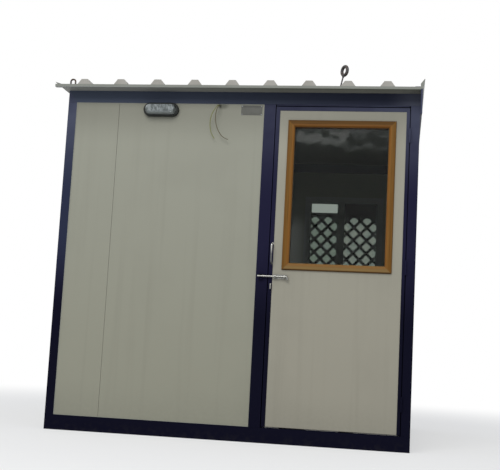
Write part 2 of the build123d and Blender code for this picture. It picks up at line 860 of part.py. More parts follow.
# Pull handle: a bar bent to a D on two roses, on the lock stile
handle_x = leaf_left + handle_inset
with BuildPart() as pull_handle:
    with BuildSketch(Plane.XZ.offset(-front)):
        with Locations((handle_x, handle_low), (handle_x, handle_high)):
            Circle(rose_radius)
    extrude(amount=rose_thickness)
    with BuildLine(Plane.YZ.offset(handle_x)) as handle_path:
        FilletPolyline(
            (front - rose_thickness, handle_low),
            (front - handle_stand, handle_low),
            (front - handle_stand, handle_high),
            (front - rose_thickness, handle_high),
            radius=handle_stand / 2,
        )
    with BuildSketch(Plane.XZ.offset(-front + rose_thickness)):
        with Locations((handle_x, handle_low)):
            RegularPolygon(handle_bar_radius, bar_sides)
    sweep(path=handle_path.wires()[0])
pull_handle.part.label = "pull_handle"
export_step(pull_handle.part, "parts/pull_handle.step")

# Slide bolt: a round rod with its end turned down, in two bored guides on the leaf
bolt_left = doorway_left - bolt_left_over_post
bolt_y = front - bolt_stand
bolt_right = bolt_left + bolt_length
with BuildPart() as slide_bolt:
    with BuildLine(Plane.XZ.offset(-bolt_y)) as bolt_path:
        FilletPolyline(
            (bolt_left, bolt_height),
            (bolt_right, bolt_height),
            (bolt_right, bolt_height - bolt_turn_down),
            radius=bolt_bend_radius,
        )
    with BuildSketch(Plane.YZ.offset(bolt_left)):
        with Locations((bolt_y, bolt_height)):
            Circle(bolt_radius)
    sweep(path=bolt_path.wires()[0])
slide_bolt.part.label = "slide_bolt"
export_step(slide_bolt.part, "parts/slide_bolt.step")

guide_plate_left = leaf_left + door_edge_width + guide_plate_gap
guide_plate_right = guide_plate_left + guide_plate_width
guide_places = (guide_plate_left + guide_inset, guide_plate_right - guide_inset)
guide_reach = bolt_radius + guide_wall
with BuildPart() as bolt_guides:
    with BuildSketch(Plane.XZ.offset(-leaf_panel_face)):
        with Locations(((guide_plate_left + guide_plate_right) / 2, bolt_height)):
            Rectangle(guide_plate_width, guide_plate_height)
    extrude(amount=guide_plate_thickness)
    for place in guide_places:
        with BuildSketch(Plane.YZ.offset(place - guide_width / 2)):
            with Locations((bolt_y, bolt_height)):
                Circle(guide_reach)
            with Locations(((bolt_y + leaf_panel_face - guide_plate_thickness) / 2, bolt_height)):
                Rectangle(leaf_panel_face - guide_plate_thickness - bolt_y, 2 * guide_reach)
            with Locations((bolt_y, bolt_height)):
                Circle(bolt_radius + bolt_clearance, mode=Mode.SUBTRACT)
        extrude(amount=guide_width)
bolt_guides.part.label = "bolt_guides"
export_step(bolt_guides.part, "parts/bolt_guides.step")

# Keeper on the door post: two cheeks, open in front so that the rod can swing out
keeper_half = bolt_radius + keeper_play
keeper_x = bolt_left + keeper_inset + keeper_width / 2
with BuildPart() as bolt_keeper:
    with BuildSketch(Plane.YZ.offset(keeper_x - keeper_width / 2)):
        with Locations((front - keeper_wall / 2, bolt_height)):
            Rectangle(keeper_wall, 2 * (keeper_half + keeper_wall))
        for side in (1, -1):
            cheek_reach = bolt_stand + bolt_radius
            with Locations((
                front - cheek_reach / 2,
                bolt_height + side * (keeper_half + keeper_wall / 2),
            )):
                Rectangle(cheek_reach, keeper_wall)
    extrude(amount=keeper_width)
bolt_keeper.part.label = "bolt_keeper"
export_step(bolt_keeper.part, "parts/bolt_keeper.step")

# Padlock staple under the bolt: a flat strap bent to a U, on the lock stile
with BuildPart() as lock_staple:
    with BuildSketch(Plane.YZ.offset(handle_x - staple_width / 2)):
        with Locations((front - staple_stand / 2, staple_centre)):
            Rectangle(staple_stand, staple_height)
        with Locations((front - (staple_stand - staple_thickness) / 2, staple_centre)):
            Rectangle(staple_stand - staple_thickness, staple_height - 2 * staple_thickness,
                      mode=Mode.SUBTRACT)
    extrude(amount=staple_width)
    bends = lock_staple.edges().filter_by(Axis.X).group_by(Axis.Y)[0]
    fillet(bends, radius=staple_bend)
lock_staple.part.label = "lock_staple"
export_step(lock_staple.part, "parts/lock_staple.step")

# Bulkhead lamp on the door wall: stadium body and a bevelled lens
lamp_x = door_post_left - lamp_from_door_post
lamp_plane = Plane((lamp_x, wall_face_front, lamp_height), x_dir=(1, 0, 0), z_dir=(0, -1, 0))
with BuildPart() as lamp_body:
    with BuildSketch(lamp_plane):
        SlotOverall(lamp_width, lamp_tall)
    extrude(amount=lamp_body_depth)
    chamfer(lamp_body.faces().sort_by(Axis.Y)[0].edges(), length=lamp_chamfer)
lamp_body.part.label = "lamp_body"
export_step(lamp_body.part, "parts/lamp_body.step")

with BuildPart() as lamp_lens:
    with BuildSketch(lamp_plane.offset(lamp_body_depth)):
        SlotOverall(lens_width, lens_tall)
    extrude(amount=lens_depth, taper=lens_taper)
    chamfer(lamp_lens.faces().sort_by(Axis.Y)[0].edges(), length=lens_bevel)
lamp_lens.part.label = "lamp_lens"
export_step(lamp_lens.part, "parts/lamp_lens.step")

# Wire outlet beside the lamp, with two loose wire ends hanging from it
outlet_x = door_post_left - outlet_from_door_post
with BuildPart() as wire_outlet:
    with BuildSketch(Plane.XZ.offset(-wall_face_front)):
        with Locations((outlet_x, outlet_height)):
            Circle(outlet_radius)
    extrude(amount=outlet_length)
wire_outlet.part.label = "wire_outlet"
export_step(wire_outlet.part, "parts/wire_outlet.step")

outlet_face = wall_face_front - outlet_length
right_route = (
    (3.5, outlet_face, 2250),
    (3.5, -1260, 2250),
    (-14, -1264, 2212),
    (-21, -1259, 2170),
    (-17, -1255, 2126),
    (-6, -1249, 2085),
    (14, -1248, 2049),
    (41, -1247, 2019),
    (74, -1246, 2009),
)
left_route = (
    (-3.5, outlet_face, 2250),
    (-3.5, -1260, 2250),
    (-25, -1264, 2218),
    (-45, -1260, 2184),
    (-55, -1255, 2148),
    (-57, -1249, 2110),
    (-52, -1248, 2074),
    (-41, -1247, 2041),
    (-22, -1246, 2014),
)


def wire_radii(route):
    """The largest arc that each corner of the route allows."""
    radii = []
    for before, here, after in zip(route, route[1:], route[2:]):
        run_in = Vector(here) - Vector(before)
        run_out = Vector(after) - Vector(here)
        turn = radians(run_in.get_angle(run_out))
        radii.append(0.45 * min(run_in.length, run_out.length) / tan(turn / 2))
    return radii


def wire(offsets):
    """A wire along straight runs joined by tangent arcs; x is counted from the outlet."""
    route = [(outlet_x + x, y, z) for x, y, z in offsets]
    radii = wire_radii(route)
    print("wire arcs", [round(radius, 1) for radius in radii])
    with BuildPart() as made:
        with BuildLine() as path:
            FilletPolyline(*route, radius=radii)
        start = path.wires()[0]
        with BuildSketch(Plane(start @ 0, z_dir=start % 0)):
            RegularPolygon(wire_radius, wire_sides)
        sweep(path=start)
    print("wire volume", round(made.part.volume), "length", round(start.length, 1))
    return made.part


right_wire_part = wire(right_route)
with BuildPart() as right_wire:
    add(right_wire_part)
right_wire.part.label = "right_wire"
export_step(right_wire.part, "parts/right_wire.step")

left_wire_part = wire(left_route)
with BuildPart() as left_wire:
    add(left_wire_part)
left_wire.part.label = "left_wire"
export_step(left_wire.part, "parts/left_wire.step")
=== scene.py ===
# %% [markdown]
# # A steel-framed guard booth, dressed for a photograph
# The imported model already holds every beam, panel and fitting at its real size, so this script only gives
# them their finishes and adds what is too fine for the model: seals, screws, rivets, weld beads, the ribbed
# lamp cover and the smooth bright fittings. Everything is in metres, with the ground at z = 0, +X to the
# right seen from the door side and -Y out of the door wall. The camera comes first, then the finishes and
# the loose wires, and then the small pieces.

# %% Load the model and note its box
import json
from math import cos, pi, radians, sin

import bmesh
import bpy
from mathutils import Matrix, Vector


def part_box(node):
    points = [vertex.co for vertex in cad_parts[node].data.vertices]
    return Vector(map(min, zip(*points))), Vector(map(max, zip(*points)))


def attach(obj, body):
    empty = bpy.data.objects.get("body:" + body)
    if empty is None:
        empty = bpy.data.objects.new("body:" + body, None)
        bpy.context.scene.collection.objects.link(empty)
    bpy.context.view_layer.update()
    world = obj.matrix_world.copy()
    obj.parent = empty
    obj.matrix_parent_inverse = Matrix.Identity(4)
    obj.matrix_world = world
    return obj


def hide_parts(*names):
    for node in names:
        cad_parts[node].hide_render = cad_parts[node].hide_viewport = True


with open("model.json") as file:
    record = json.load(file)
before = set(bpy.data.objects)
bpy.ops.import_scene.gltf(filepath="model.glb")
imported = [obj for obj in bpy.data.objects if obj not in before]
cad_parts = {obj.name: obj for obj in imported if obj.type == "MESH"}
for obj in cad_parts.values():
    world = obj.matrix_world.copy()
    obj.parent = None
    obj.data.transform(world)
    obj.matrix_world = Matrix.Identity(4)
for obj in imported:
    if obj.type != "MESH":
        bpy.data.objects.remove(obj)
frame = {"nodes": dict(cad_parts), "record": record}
scene = bpy.context.scene
mm = 0.001
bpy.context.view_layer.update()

# %% [markdown]
# ## Camera
# The camera stands in front of the right half of the booth, a little over six metres away, at about the
# height of a knee, and is tipped to one side. A pan, a tilt and a roll say this more plainly than a target
# point would: the pan turns the view to the left of straight ahead, the tilt lifts it, and the roll is what
# makes the posts lean in the picture.

# %% Place the camera
camera_place = Vector((1.133, -7.526, 0.561))
camera_pan = radians(9.12)
camera_tilt = radians(7.16)
camera_roll = radians(3.03)
focal_length = 69.08
sensor_width = 36

level_right = Vector((cos(camera_pan), sin(camera_pan), 0))
view_ahead = Vector((
    -sin(camera_pan) * cos(camera_tilt),
    cos(camera_pan) * cos(camera_tilt),
    sin(camera_tilt),
))
level_up = level_right.cross(view_ahead)
camera_right = level_right * cos(camera_roll) + level_up * sin(camera_roll)
camera_up = level_up * cos(camera_roll) - level_right * sin(camera_roll)

camera_data = bpy.data.cameras.new("photo_camera")
camera_data.lens = focal_length
camera_data.sensor_width = sensor_width
camera = bpy.data.objects.new("photo_camera", camera_data)
scene.collection.objects.link(camera)
axes = Matrix((camera_right, camera_up, -view_ahead)).transposed()
camera.matrix_world = Matrix.Translation(camera_place) @ axes.to_4x4()
scene.camera = camera
print("camera looks along", tuple(round(v, 3) for v in view_ahead))

# %% [markdown]
# ## Adding nodes, and colours off a paint card
# Every finish below is a small graph of nodes. One function adds any node: its keywords are the node's own
# settings, and each input is a plain value, a socket, or another node, whose first output in use then
# feeds it. Colours are written as sRGB hex, as one reads them off a paint card, and are turned to the
# linear values that the shaders work in.

# %% Node and colour helpers


def paint(text):
    """An sRGB hex colour as linear RGBA."""
    shares = [int(text[start:start + 2], 16) / 255 for start in (1, 3, 5)]
    linear = [s / 12.92 if s <= 0.04045 else ((s + 0.055) / 1.055) ** 2.4 for s in shares]
    return (*linear, 1)


def feed(tree, node, inputs):
    """Gives a node its inputs: a socket or a node is linked, and anything else becomes the value."""
    for key, value in inputs.items():
        if isinstance(value, bpy.types.Node):
            value = next(socket for socket in value.outputs if socket.enabled)
        if isinstance(value, bpy.types.NodeSocket):
            tree.links.new(value, node.inputs[key])
        elif isinstance(value, str) and value.startswith("#"):
            node.inputs[key].default_value = paint(value)
        else:
            node.inputs[key].default_value = value


def add(tree, kind, inputs=None, **settings):
    """Adds one node with its settings and links."""
    node = tree.nodes.new(kind)
    for name, value in settings.items():
        setattr(node, name, value)
    feed(tree, node, inputs or {})
    return node


def start_finish(name, inputs):
    """A material with one Principled shader; returns it, its tree, the shader and Object coordinates."""
    material = bpy.data.materials.new(name)
    material.use_nodes = True
    tree = material.node_tree
    tree.nodes.clear()
    shader = add(tree, "ShaderNodeBsdfPrincipled", inputs)
    add(tree, "ShaderNodeOutputMaterial", {"Surface": shader})
    return material, tree, shader, add(tree, "ShaderNodeTexCoord").outputs["Object"]


# %% [markdown]
# ## How a finish is built up
# A real finish is a base colour with dust, chalk, mud or wear laid over it, each in its own place. So a
# layer is described by bands. A band is a value, such as a height or a cloudy noise, with the place where
# the layer starts and the place where it is complete, and it is eased between them so that no line shows. A
# layer with several bands lies only where they overlap. Two more helpers make what nearly every finish has:
# close shades in patches, and the small bumps of a coat or a moulding. Both take real sizes.

# %% Bands, layers, patches and bumps


def within(tree, *bands):
    """How far a point lies in all bands: each is a value, its start and end, and the shares there."""
    share = None
    for value, start, end, *shares in bands:
        at_start, at_end = shares or (0.0, 1.0)
        step = add(tree, "ShaderNodeMapRange", {
            "Value": value, "From Min": start, "From Max": end, "To Min": at_start, "To Max": at_end,
        }, interpolation_type="SMOOTHSTEP")
        if share is None:
            share = step
        else:
            share = add(tree, "ShaderNodeMath", {0: share, 1: step}, operation="MULTIPLY")
    return share


def layered(tree, under, over, *bands):
    """The colour under, with the colour over laid on it where all the bands overlap."""
    share = within(tree, *bands)
    return add(tree, "ShaderNodeMix", {"Factor": share, "A": under, "B": over}, data_type="RGBA")


def patches(tree, place, width, light, dark, detail=2.0):
    """Two close shades in cloudy patches of about this width."""
    cloud = add(tree, "ShaderNodeTexNoise", {"Vector": place, "Scale": 1 / width, "Detail": detail})
    return add(tree, "ShaderNodeMix", {"Factor": cloud, "A": light, "B": dark}, data_type="RGBA")


def bumps(tree, place, spacing, depth, detail=1.0):
    """Bumps this far apart and this deep, for a shader's normal."""
    rises = add(tree, "ShaderNodeTexNoise", {"Vector": place, "Scale": 1 / spacing, "Detail": detail})
    return add(tree, "ShaderNodeBump", {"Height": rises, "Distance": depth, "Strength": 1.0})


# %% [markdown]
# ## Navy enamel
# The frame is welded from rolled channel and tube and sprayed with air-drying alkyd enamel. Near eye level
# it is a deep blue. Low down it is painted near black as shade, and higher up a paler grey-blue as a painted
# reflection of the bright sky, strongest on the left post and weakest a quarter of a metre right of the
# middle; the left post is painted paler at mid-height too, as the same reflection. The base ring carries a
# film of dried mud. The beam under the eave is painted darker as the eave's shade, greyer at its ends, and
# this painted shade begins at the slanting mitre with the left post. Spraying leaves orange peel: its real
# bumps are about 2 mm apart and are drawn at 5 mm so that they show. A pair of numbers is the start and end
# of a band, along the height or from left to right.

# %% Navy enamel
enamel_low = "#0E0E1E"
enamel_dark = "#1F1E35"
enamel_left_reflection = "#2B3044"
enamel_sky_reflection = "#4B4F60"
enamel_mud = "#1F1E25"
beam_shade_left = "#464D5B"
beam_shade_right = "#2A2D3B"
beam_shade_corner = "#515461"
orange_peel = 5 * mm
peel_depth = 0.08 * mm
reflection_patch = 120 * mm
mud_patch = 30 * mm
mud_height = 90 * mm
shade_ends = (0.75, 1.35)
left_post_side = (-1.0, -1.15)
left_post_reflection_height = (0.85, 1.4)
reflection_rises = (1.6, 2.25)
least_reflection = 0.38
least_reflection_at = 0.25
full_reflection_away = 1.6
beam_bottom = 2.264
beam_darkens = (-1.2, 1.1)
beam_corner = (0.98, 1.26)
mitre_slope = 1.4
mitre_start = 0.64


def navy_enamel(name, roughness):
    """Sprayed enamel, painted dark low down, with a painted sky reflection higher up and mud at the foot."""
    material, tree, shader, place = start_finish(name, {"Roughness": roughness, "Specular IOR Level": 0.03})
    parts = add(tree, "ShaderNodeSeparateXYZ", {"Vector": place}).outputs
    side = parts["X"]
    height = parts["Z"]
    # painted shade: the enamel is darker low down
    colour = layered(tree, enamel_low, enamel_dark, (height, *shade_ends))
    # painted sky reflection on the left post at mid-height
    colour = layered(tree, colour, enamel_left_reflection, (side, *left_post_side), (height, *left_post_reflection_height))
    # painted sky reflection, paler towards the top, least a quarter of a metre right of the middle
    away = add(tree, "ShaderNodeMath", {0: side, 1: least_reflection_at}, operation="SUBTRACT")
    away = add(tree, "ShaderNodeMath", {0: away}, operation="ABSOLUTE")
    clouds = add(tree, "ShaderNodeTexNoise", {"Vector": place, "Scale": 1 / reflection_patch, "Detail": 2.0})
    reflection_across = (away, 0.0, full_reflection_away, least_reflection, 1.0)
    uneven = (clouds, 0.2, 0.6, 0.7, 1.0)
    colour = layered(tree, colour, enamel_sky_reflection, (height, *reflection_rises), reflection_across, uneven)
    # painted shade of the eave on the beam's face, greyer at its ends, from the mitre with the left post on
    beam = layered(tree, beam_shade_left, beam_shade_right, (side, *beam_darkens))
    beam = layered(tree, beam, beam_shade_corner, (side, *beam_corner))
    diagonal = add(tree, "ShaderNodeMath", {0: side, 1: mitre_slope, 2: height}, operation="MULTIPLY_ADD")
    on_beam = (height, beam_bottom - 2 * mm, beam_bottom + 6 * mm)
    past_mitre = (diagonal, mitre_start - 3 * mm, mitre_start + 3 * mm)
    colour = layered(tree, colour, beam, on_beam, past_mitre)
    splashes = add(tree, "ShaderNodeTexNoise", {"Vector": place, "Scale": 1 / mud_patch, "Detail": 4.0})
    colour = layered(tree, colour, enamel_mud, (height, mud_height, 0.0, 0.0, 0.5), (splashes, 0.45, 0.65))
    feed(tree, shader, {"Base Color": colour, "Normal": bumps(tree, place, orange_peel, peel_depth)})
    return material


frame_enamel = navy_enamel("navy_enamel", 0.42)
print("finish", frame_enamel.name)

# %% [markdown]
# ## Pre-painted steel sheet
# The wall and door panels have skins of galvanised steel, coil-coated in off-white polyester. In the shade
# the coat reads as a warm light grey. It is smooth and satin, so its life comes from rain streaks a few
# centimetres wide, cloudy dust, and a slow fall in brightness towards the splash zone at the bottom. Along
# the top, under the eave, it is painted darker as the eave's shade. Hands have left a smudge round the hole
# that the lamp's wires come out of.

# %% Pre-painted sheet
sheet_high = "#969688"
sheet_low = "#949383"
sheet_grime_and_shade = "#77766A"
door_high = "#9C998A"
door_low = "#9B9788"
sheet_darkens = (0.3, 2.1)
streak_width = 50 * mm
streak_length = 1.6
dust_cloud = 450 * mm
splash_zone = (0.35, 0.1)
splash_patch = 20 * mm
sheet_wave = 250 * mm
wave_depth = 0.8 * mm
painted_eave_shade = (1.95, 2.22)
smudge_middle = (-0.115, -1.215, 2.25)
smudge_reach = (0.042, 0.3, 0.024)
smudge_dirt = "#57584D"


def coated_sheet(name, high, low, grime):
    """Coated steel with rain streaks, cloudy dust, a dirtier foot and the eave's painted shade on top."""
    material, tree, shader, place = start_finish(name, {"Roughness": 0.45, "Specular IOR Level": 0.15})
    height = add(tree, "ShaderNodeSeparateXYZ", {"Vector": place}).outputs["Z"]
    colour = layered(tree, low, high, (height, *sheet_darkens))
    run_down = (1, 1, streak_width / streak_length)
    drawn = add(tree, "ShaderNodeMapping", {"Vector": place, "Scale": run_down})
    streaks = add(tree, "ShaderNodeTexNoise", {"Vector": drawn, "Scale": 1 / streak_width, "Detail": 2.0})
    colour = layered(tree, colour, grime, (streaks, 0.5, 0.8, 0.0, 0.12))
    clouds = add(tree, "ShaderNodeTexNoise", {"Vector": place, "Scale": 1 / dust_cloud, "Detail": 3.0})
    colour = layered(tree, colour, grime, (clouds, 0.45, 0.75, 0.0, 0.1))
    # painted shade of the eave: darker along the top of the sheet
    colour = layered(tree, colour, grime, (height, *painted_eave_shade, 0.0, 0.5))
    aside = add(tree, "ShaderNodeVectorMath", {0: place, 1: smudge_middle}, operation="SUBTRACT")
    aside = add(tree, "ShaderNodeVectorMath", {0: aside, 1: smudge_reach}, operation="DIVIDE")
    aside = add(tree, "ShaderNodeVectorMath", {0: aside}, operation="LENGTH")
    colour = layered(tree, colour, smudge_dirt, (aside, 1.25, 0.3, 0.0, 0.7))
    splash = within(tree, (height, *splash_zone, 0.0, 0.3))
    specks = add(tree, "ShaderNodeTexNoise", {"Vector": place, "Scale": 1 / splash_patch, "Detail": 4.0})
    dirt = add(tree, "ShaderNodeMath", {0: splash, 1: specks}, operation="MULTIPLY")
    colour = add(tree, "ShaderNodeMix", {"Factor": dirt, "A": colour, "B": grime}, data_type="RGBA")
    feed(tree, shader, {"Base Color": colour, "Normal": bumps(tree, place, sheet_wave, wave_depth)})
    return material


panel_sheet = coated_sheet("prepainted_panel_sheet", sheet_high, sheet_low, sheet_grime_and_shade)
door_sheet = coated_sheet("prepainted_door_sheet", door_high, door_low, sheet_grime_and_shade)
print("finishes", panel_sheet.name, door_sheet.name)

# %% [markdown]
# ## Roof sheet and folded flashings
# The ribbed roof sheet is the same coated steel, weathered more because it lies flat, and its underside is
# painted darker as shade, more so to the right. The narrow trims are bent from plain grey sheet. The plate
# on the right edge was painted navy with the frame, but only up to its fold: the leaning lip above keeps its
# grey-green primer. The height of a point tells these faces apart.

# %% Roof sheet and trims
underside = 2.3475
underside_painted_shade = ("#8C8E8A", "#67695F")
underside_darkens = (-1.2, 0.5)
roof_cloud = 200 * mm
roof_dent = 100 * mm
dent_depth = 0.4 * mm


def roof_metal(name, colour, grime):
    """Grey sheet with cloudy dust on top and an underside painted darker as shade."""
    material, tree, shader, place = start_finish(name, {"Roughness": 0.5, "Specular IOR Level": 0.15})
    parts = add(tree, "ShaderNodeSeparateXYZ", {"Vector": place}).outputs
    clouds = add(tree, "ShaderNodeTexNoise", {"Vector": place, "Scale": 1 / roof_cloud, "Detail": 4.0})
    above = layered(tree, colour, grime, (clouds, 0.4, 0.75, 0.0, 0.6))
    # underside painted darker as shade, more so to the right
    below = layered(tree, *underside_painted_shade, (parts["X"], *underside_darkens))
    both = layered(tree, above, below, (parts["Z"], underside + 1.5 * mm, underside))
    feed(tree, shader, {"Base Color": both, "Normal": bumps(tree, place, roof_dent, dent_depth)})
    return material


roof_sheet = roof_metal("ribbed_roof_sheet", "#A3A098", "#8A877D")
trim_sheet = roof_metal("grey_folded_flashing", "#84867E", "#797B73")
print("finishes", roof_sheet.name, trim_sheet.name)

# %% The two-sided plate
plate_fold = 2368 * mm
paint_patch = 80 * mm
primer_patch = 50 * mm
side_plate, tree, shader, place = start_finish(
    "two_sided_flashing", {"Roughness": 0.45, "Specular IOR Level": 0.25}
)
height = add(tree, "ShaderNodeSeparateXYZ", {"Vector": place}).outputs["Z"]
clouds = add(tree, "ShaderNodeTexNoise", {"Vector": place, "Scale": 1 / paint_patch, "Detail": 2.0})
outside = layered(tree, "#262A44", "#30354F", (clouds, 0.3, 0.7))
primer = patches(tree, place, primer_patch, "#6E716C", "#82857F")
both = layered(tree, outside, primer, (height, plate_fold - 1 * mm, plate_fold + 1 * mm))
feed(tree, shader, {"Base Color": both, "Normal": bumps(tree, place, orange_peel, peel_depth)})
print("finish", side_plate.name)

# %% [markdown]
# ## Golden wood-look foil
# The door's window frames are hollow profiles wrapped in a printed foil like golden oak. The grain runs
# along each member, so it changes direction at the mitred corners. The material finds the corner by
# comparing how far a point lies from the frame's outer sides, swaps the axes across that diagonal, and draws
# the fine dark line where the two cut ends meet. The top member is painted darker as shade, the bottom one
# lighter as lit. A painted highlight runs along the inner lip, and a painted shade along the outer edge of
# the rails, weaker on the top one. The printed pores are under a millimetre wide and are drawn at 3 mm so
# that they show.

# %% Wood-look foil
foil_dark = "#57370F"
foil_mid = "#6E4A1B"
foil_light = "#775626"
foil_shaded = "#33200A"
foil_painted_light = "#8C7850"
foil_painted_highlight = "#8E5A26"
foil_painted_edge_shade = "#452C0D"
foil_gap = "#2B1A0A"
grain_width = 3 * mm
grain_length = 250 * mm
grain_band = 18 * mm
grain_depth = 0.05 * mm
mitre_line = 0.8 * mm
inner_lip = (24 * mm, 34 * mm)
outer_edge = (10 * mm, 7 * mm)
edge_above = 0.3231
member_share = 0.45


def wood_foil(name, node):
    """Printed oak foil round the frame that the named node holds."""
    low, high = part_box(node)
    centre = (low + high) / 2
    material, tree, shader, place = start_finish(name, {"Roughness": 0.4, "Specular IOR Level": 0.1})
    moved = add(tree, "ShaderNodeVectorMath", {0: place, 1: centre}, operation="SUBTRACT")
    parts = add(tree, "ShaderNodeSeparateXYZ", {"Vector": moved}).outputs
    inset = []
    for axis, reach in (("X", (high.x - low.x) / 2), ("Z", (high.z - low.z) / 2)):
        off_centre = add(tree, "ShaderNodeMath", {0: parts[axis]}, operation="ABSOLUTE")
        inset.append(add(tree, "ShaderNodeMath", {0: reach, 1: off_centre}, operation="SUBTRACT"))
    across = add(tree, "ShaderNodeMath", {0: inset[0], 1: inset[1]}, operation="SUBTRACT")
    is_rail = add(tree, "ShaderNodeMath", {0: across, 1: 0.0}, operation="GREATER_THAN")
    swapped = add(tree, "ShaderNodeCombineXYZ", {"X": parts["Z"], "Y": parts["Y"], "Z": parts["X"]})
    along = add(tree, "ShaderNodeMix", {"Factor": is_rail, "A": moved, "B": swapped}, data_type="VECTOR")
    lines = add(tree, "ShaderNodeMapping", {"Vector": along, "Scale": (1, 1, grain_width / grain_length)})
    fine = add(tree, "ShaderNodeTexNoise", {"Vector": lines, "Scale": 1 / grain_width, "Detail": 3.0})
    broad = add(tree, "ShaderNodeTexNoise", {"Vector": lines, "Scale": 1 / grain_band, "Detail": 2.0})
    wood = layered(tree, foil_mid, foil_light, (broad, 0.35, 0.65))
    wood = layered(tree, wood, foil_dark, (fine, 0.48, 0.7, 0.0, 0.8))
    above = add(tree, "ShaderNodeMath", {0: parts["Z"], 1: 0.0}, operation="GREATER_THAN")
    # painted shade on the top member and painted light on the bottom one
    member = layered(tree, foil_painted_light, foil_shaded, (above, 0.0, 1.0))
    wood = layered(tree, wood, member, (is_rail, 0.0, 1.0, 0.0, member_share))
    depth = add(tree, "ShaderNodeMath", {0: inset[0], 1: inset[1]}, operation="MINIMUM")
    # painted highlight along the inner lip of the frame
    wood = layered(tree, wood, foil_painted_highlight, (depth, *inner_lip, 0.0, 0.35))
    # painted shade along the outer edge of the rails, weaker on the top one
    weaker_above = (above, 0.0, 1.0, 1.0, edge_above)
    wood = layered(tree, wood, foil_painted_edge_shade, weaker_above, (is_rail, 0.0, 1.0), (depth, *outer_edge, 0.0, 0.9))
    gap = add(tree, "ShaderNodeMath", {0: across}, operation="ABSOLUTE")
    wood = layered(tree, wood, foil_gap, (gap, mitre_line, 0.0, 0.0, 0.8))
    grain = add(tree, "ShaderNodeBump", {"Height": fine, "Distance": grain_depth, "Strength": 1.0})
    feed(tree, shader, {"Base Color": wood, "Normal": grain})
    return material


foils = {
    node: wood_foil("oak_foil_" + node, node)
    for node in ("door_window_frame", "door_window_inner_frame")
}
print("foils", len(foils))

# %% [markdown]
# ## Glass
# Both windows hold float glass. The door's pane is nearly clean, with a slight green from the iron in it.
# Along its top, in cloudy patches, it is greyer and less clear: a painted reflection of the sky. Down in the
# corner by the handle it has a thin film of dust where hands and rain don't reach. The film scatters a
# little light, so it lowers the share that the glass lets through. The rear panes have years of dust baked
# on, most on the left one, and are lighter along a strip at their top. They pass only part of the daylight,
# so the diamonds behind them read as grey shapes.

# %% Clean float glass with a painted reflection and a thin film
glass_reflection_rises = (1.9, 2.09)
glass_reflection_patch = 110 * mm
glass_reflection_flattened = (1, 1, 1.6)
reflection_and_dust_clearness = 0.94
corner_side = (0.56, 0.4)
corner_top = (1.56, 1.4)
clean_glass, tree, shader, place = start_finish("clear_float_glass", {"Roughness": 0.0, "IOR": 1.2})
parts = add(tree, "ShaderNodeSeparateXYZ", {"Vector": place}).outputs
flattened = add(tree, "ShaderNodeMapping", {"Vector": place, "Scale": glass_reflection_flattened})
cloudy = add(tree, "ShaderNodeTexNoise", {"Vector": flattened, "Scale": 1 / glass_reflection_patch, "Detail": 6.0})
# painted reflection of the sky: greyer, less clear patches along the top of the pane
top_painted_reflection = within(tree, (parts["Z"], *glass_reflection_rises), (cloudy, 0.42, 0.6, 0.2, 1.1))
corner_film = within(tree, (parts["X"], *corner_side), (parts["Z"], *corner_top, 0.0, 0.5))
film = add(tree, "ShaderNodeMath", {0: top_painted_reflection, 1: corner_film}, operation="MAXIMUM")
tint = add(tree, "ShaderNodeMix", {"Factor": film, "A": "#DDE6E1", "B": "#D2D4CF"}, data_type="RGBA")
clearness = within(tree, (film, 0.0, 1.0, 1.0, reflection_and_dust_clearness))
feed(tree, shader, {"Base Color": tint, "Transmission Weight": clearness})
print("glass", clean_glass.name)

# %% Dusty float glass
lighter_strip_above = (1.875, 1.885)
panes_meet = (0.565, 0.575)
dust_patch = 60 * mm
dusty_glass, tree, shader, place = start_finish(
    "dusty_float_glass", {"IOR": 1.2, "Transmission Weight": 1.0}
)
parts = add(tree, "ShaderNodeSeparateXYZ", {"Vector": place}).outputs
dust = layered(tree, "#677166", "#797C74", (parts["X"], *panes_meet))
clouds = add(tree, "ShaderNodeTexNoise", {"Vector": place, "Scale": 1 / dust_patch, "Detail": 4.0})
dust = layered(tree, dust, "#6C746E", (clouds, 0.3, 0.7))
# lighter along a strip at the top of the panes
dust = layered(tree, dust, "#989C97", (parts["Z"], *lighter_strip_above))
dullness = within(tree, (parts["X"], *panes_meet, 0.42, 0.07))
feed(tree, shader, {"Base Color": dust, "Roughness": dullness})
print("glass", dusty_glass.name)

# %% [markdown]
# ## Bright fittings, lifting steel and small parts
# The handle, rod and guides are chrome-plated steel, dulled by handling. The pull handle is bright at its
# top bend, and its lower part is painted dark as a reflection of the dark ground. The lifting points are
# bare steel that has browned.
# The lamp is black moulded plastic, the grille is brushed with green-black paint, the seals are soft black
# rubber, and the two loose wires have PVC covers, one green-yellow and one brown. The floor is sealed board,
# flecked with dirt, and the bare plate and the rear window's sashes are aluminium gone dull. Those that are
# two close shades in patches, with or without bumps, share one function. The grain of the mould, the brush
# marks and the pits in the steel are finer in truth, and are drawn at 1.5, 2 and 3 mm so that they show.

# %% Plated steel and browned steel
smear = 20 * mm
chrome, tree, shader, place = start_finish("dulled_chrome", {"Metallic": 1.0})
smears = add(tree, "ShaderNodeTexNoise", {"Vector": place, "Scale": 1 / smear, "Detail": 3.0})
colour = add(tree, "ShaderNodeMix", {"Factor": smears, "A": "#9C9C98", "B": "#73736E"}, data_type="RGBA")
feed(tree, shader, {"Base Color": colour, "Roughness": within(tree, (smears, 0.3, 0.8, 0.16, 0.36))})

painted_reflection_starts = (1.285, 1.23)
chrome_dark_below, tree, shader, place = start_finish(
    "chrome_with_painted_reflection", {"Metallic": 1.0, "Roughness": 0.22}
)
height = add(tree, "ShaderNodeSeparateXYZ", {"Vector": place}).outputs["Z"]
bright = patches(tree, place, smear, "#C6C6C2", "#A2A29E", 3.0)
# painted dark reflection of the ground on the lower part of the handle
feed(tree, shader, {"Base Color": layered(tree, bright, "#4A4C52", (height, *painted_reflection_starts, 0.0, 0.85))})

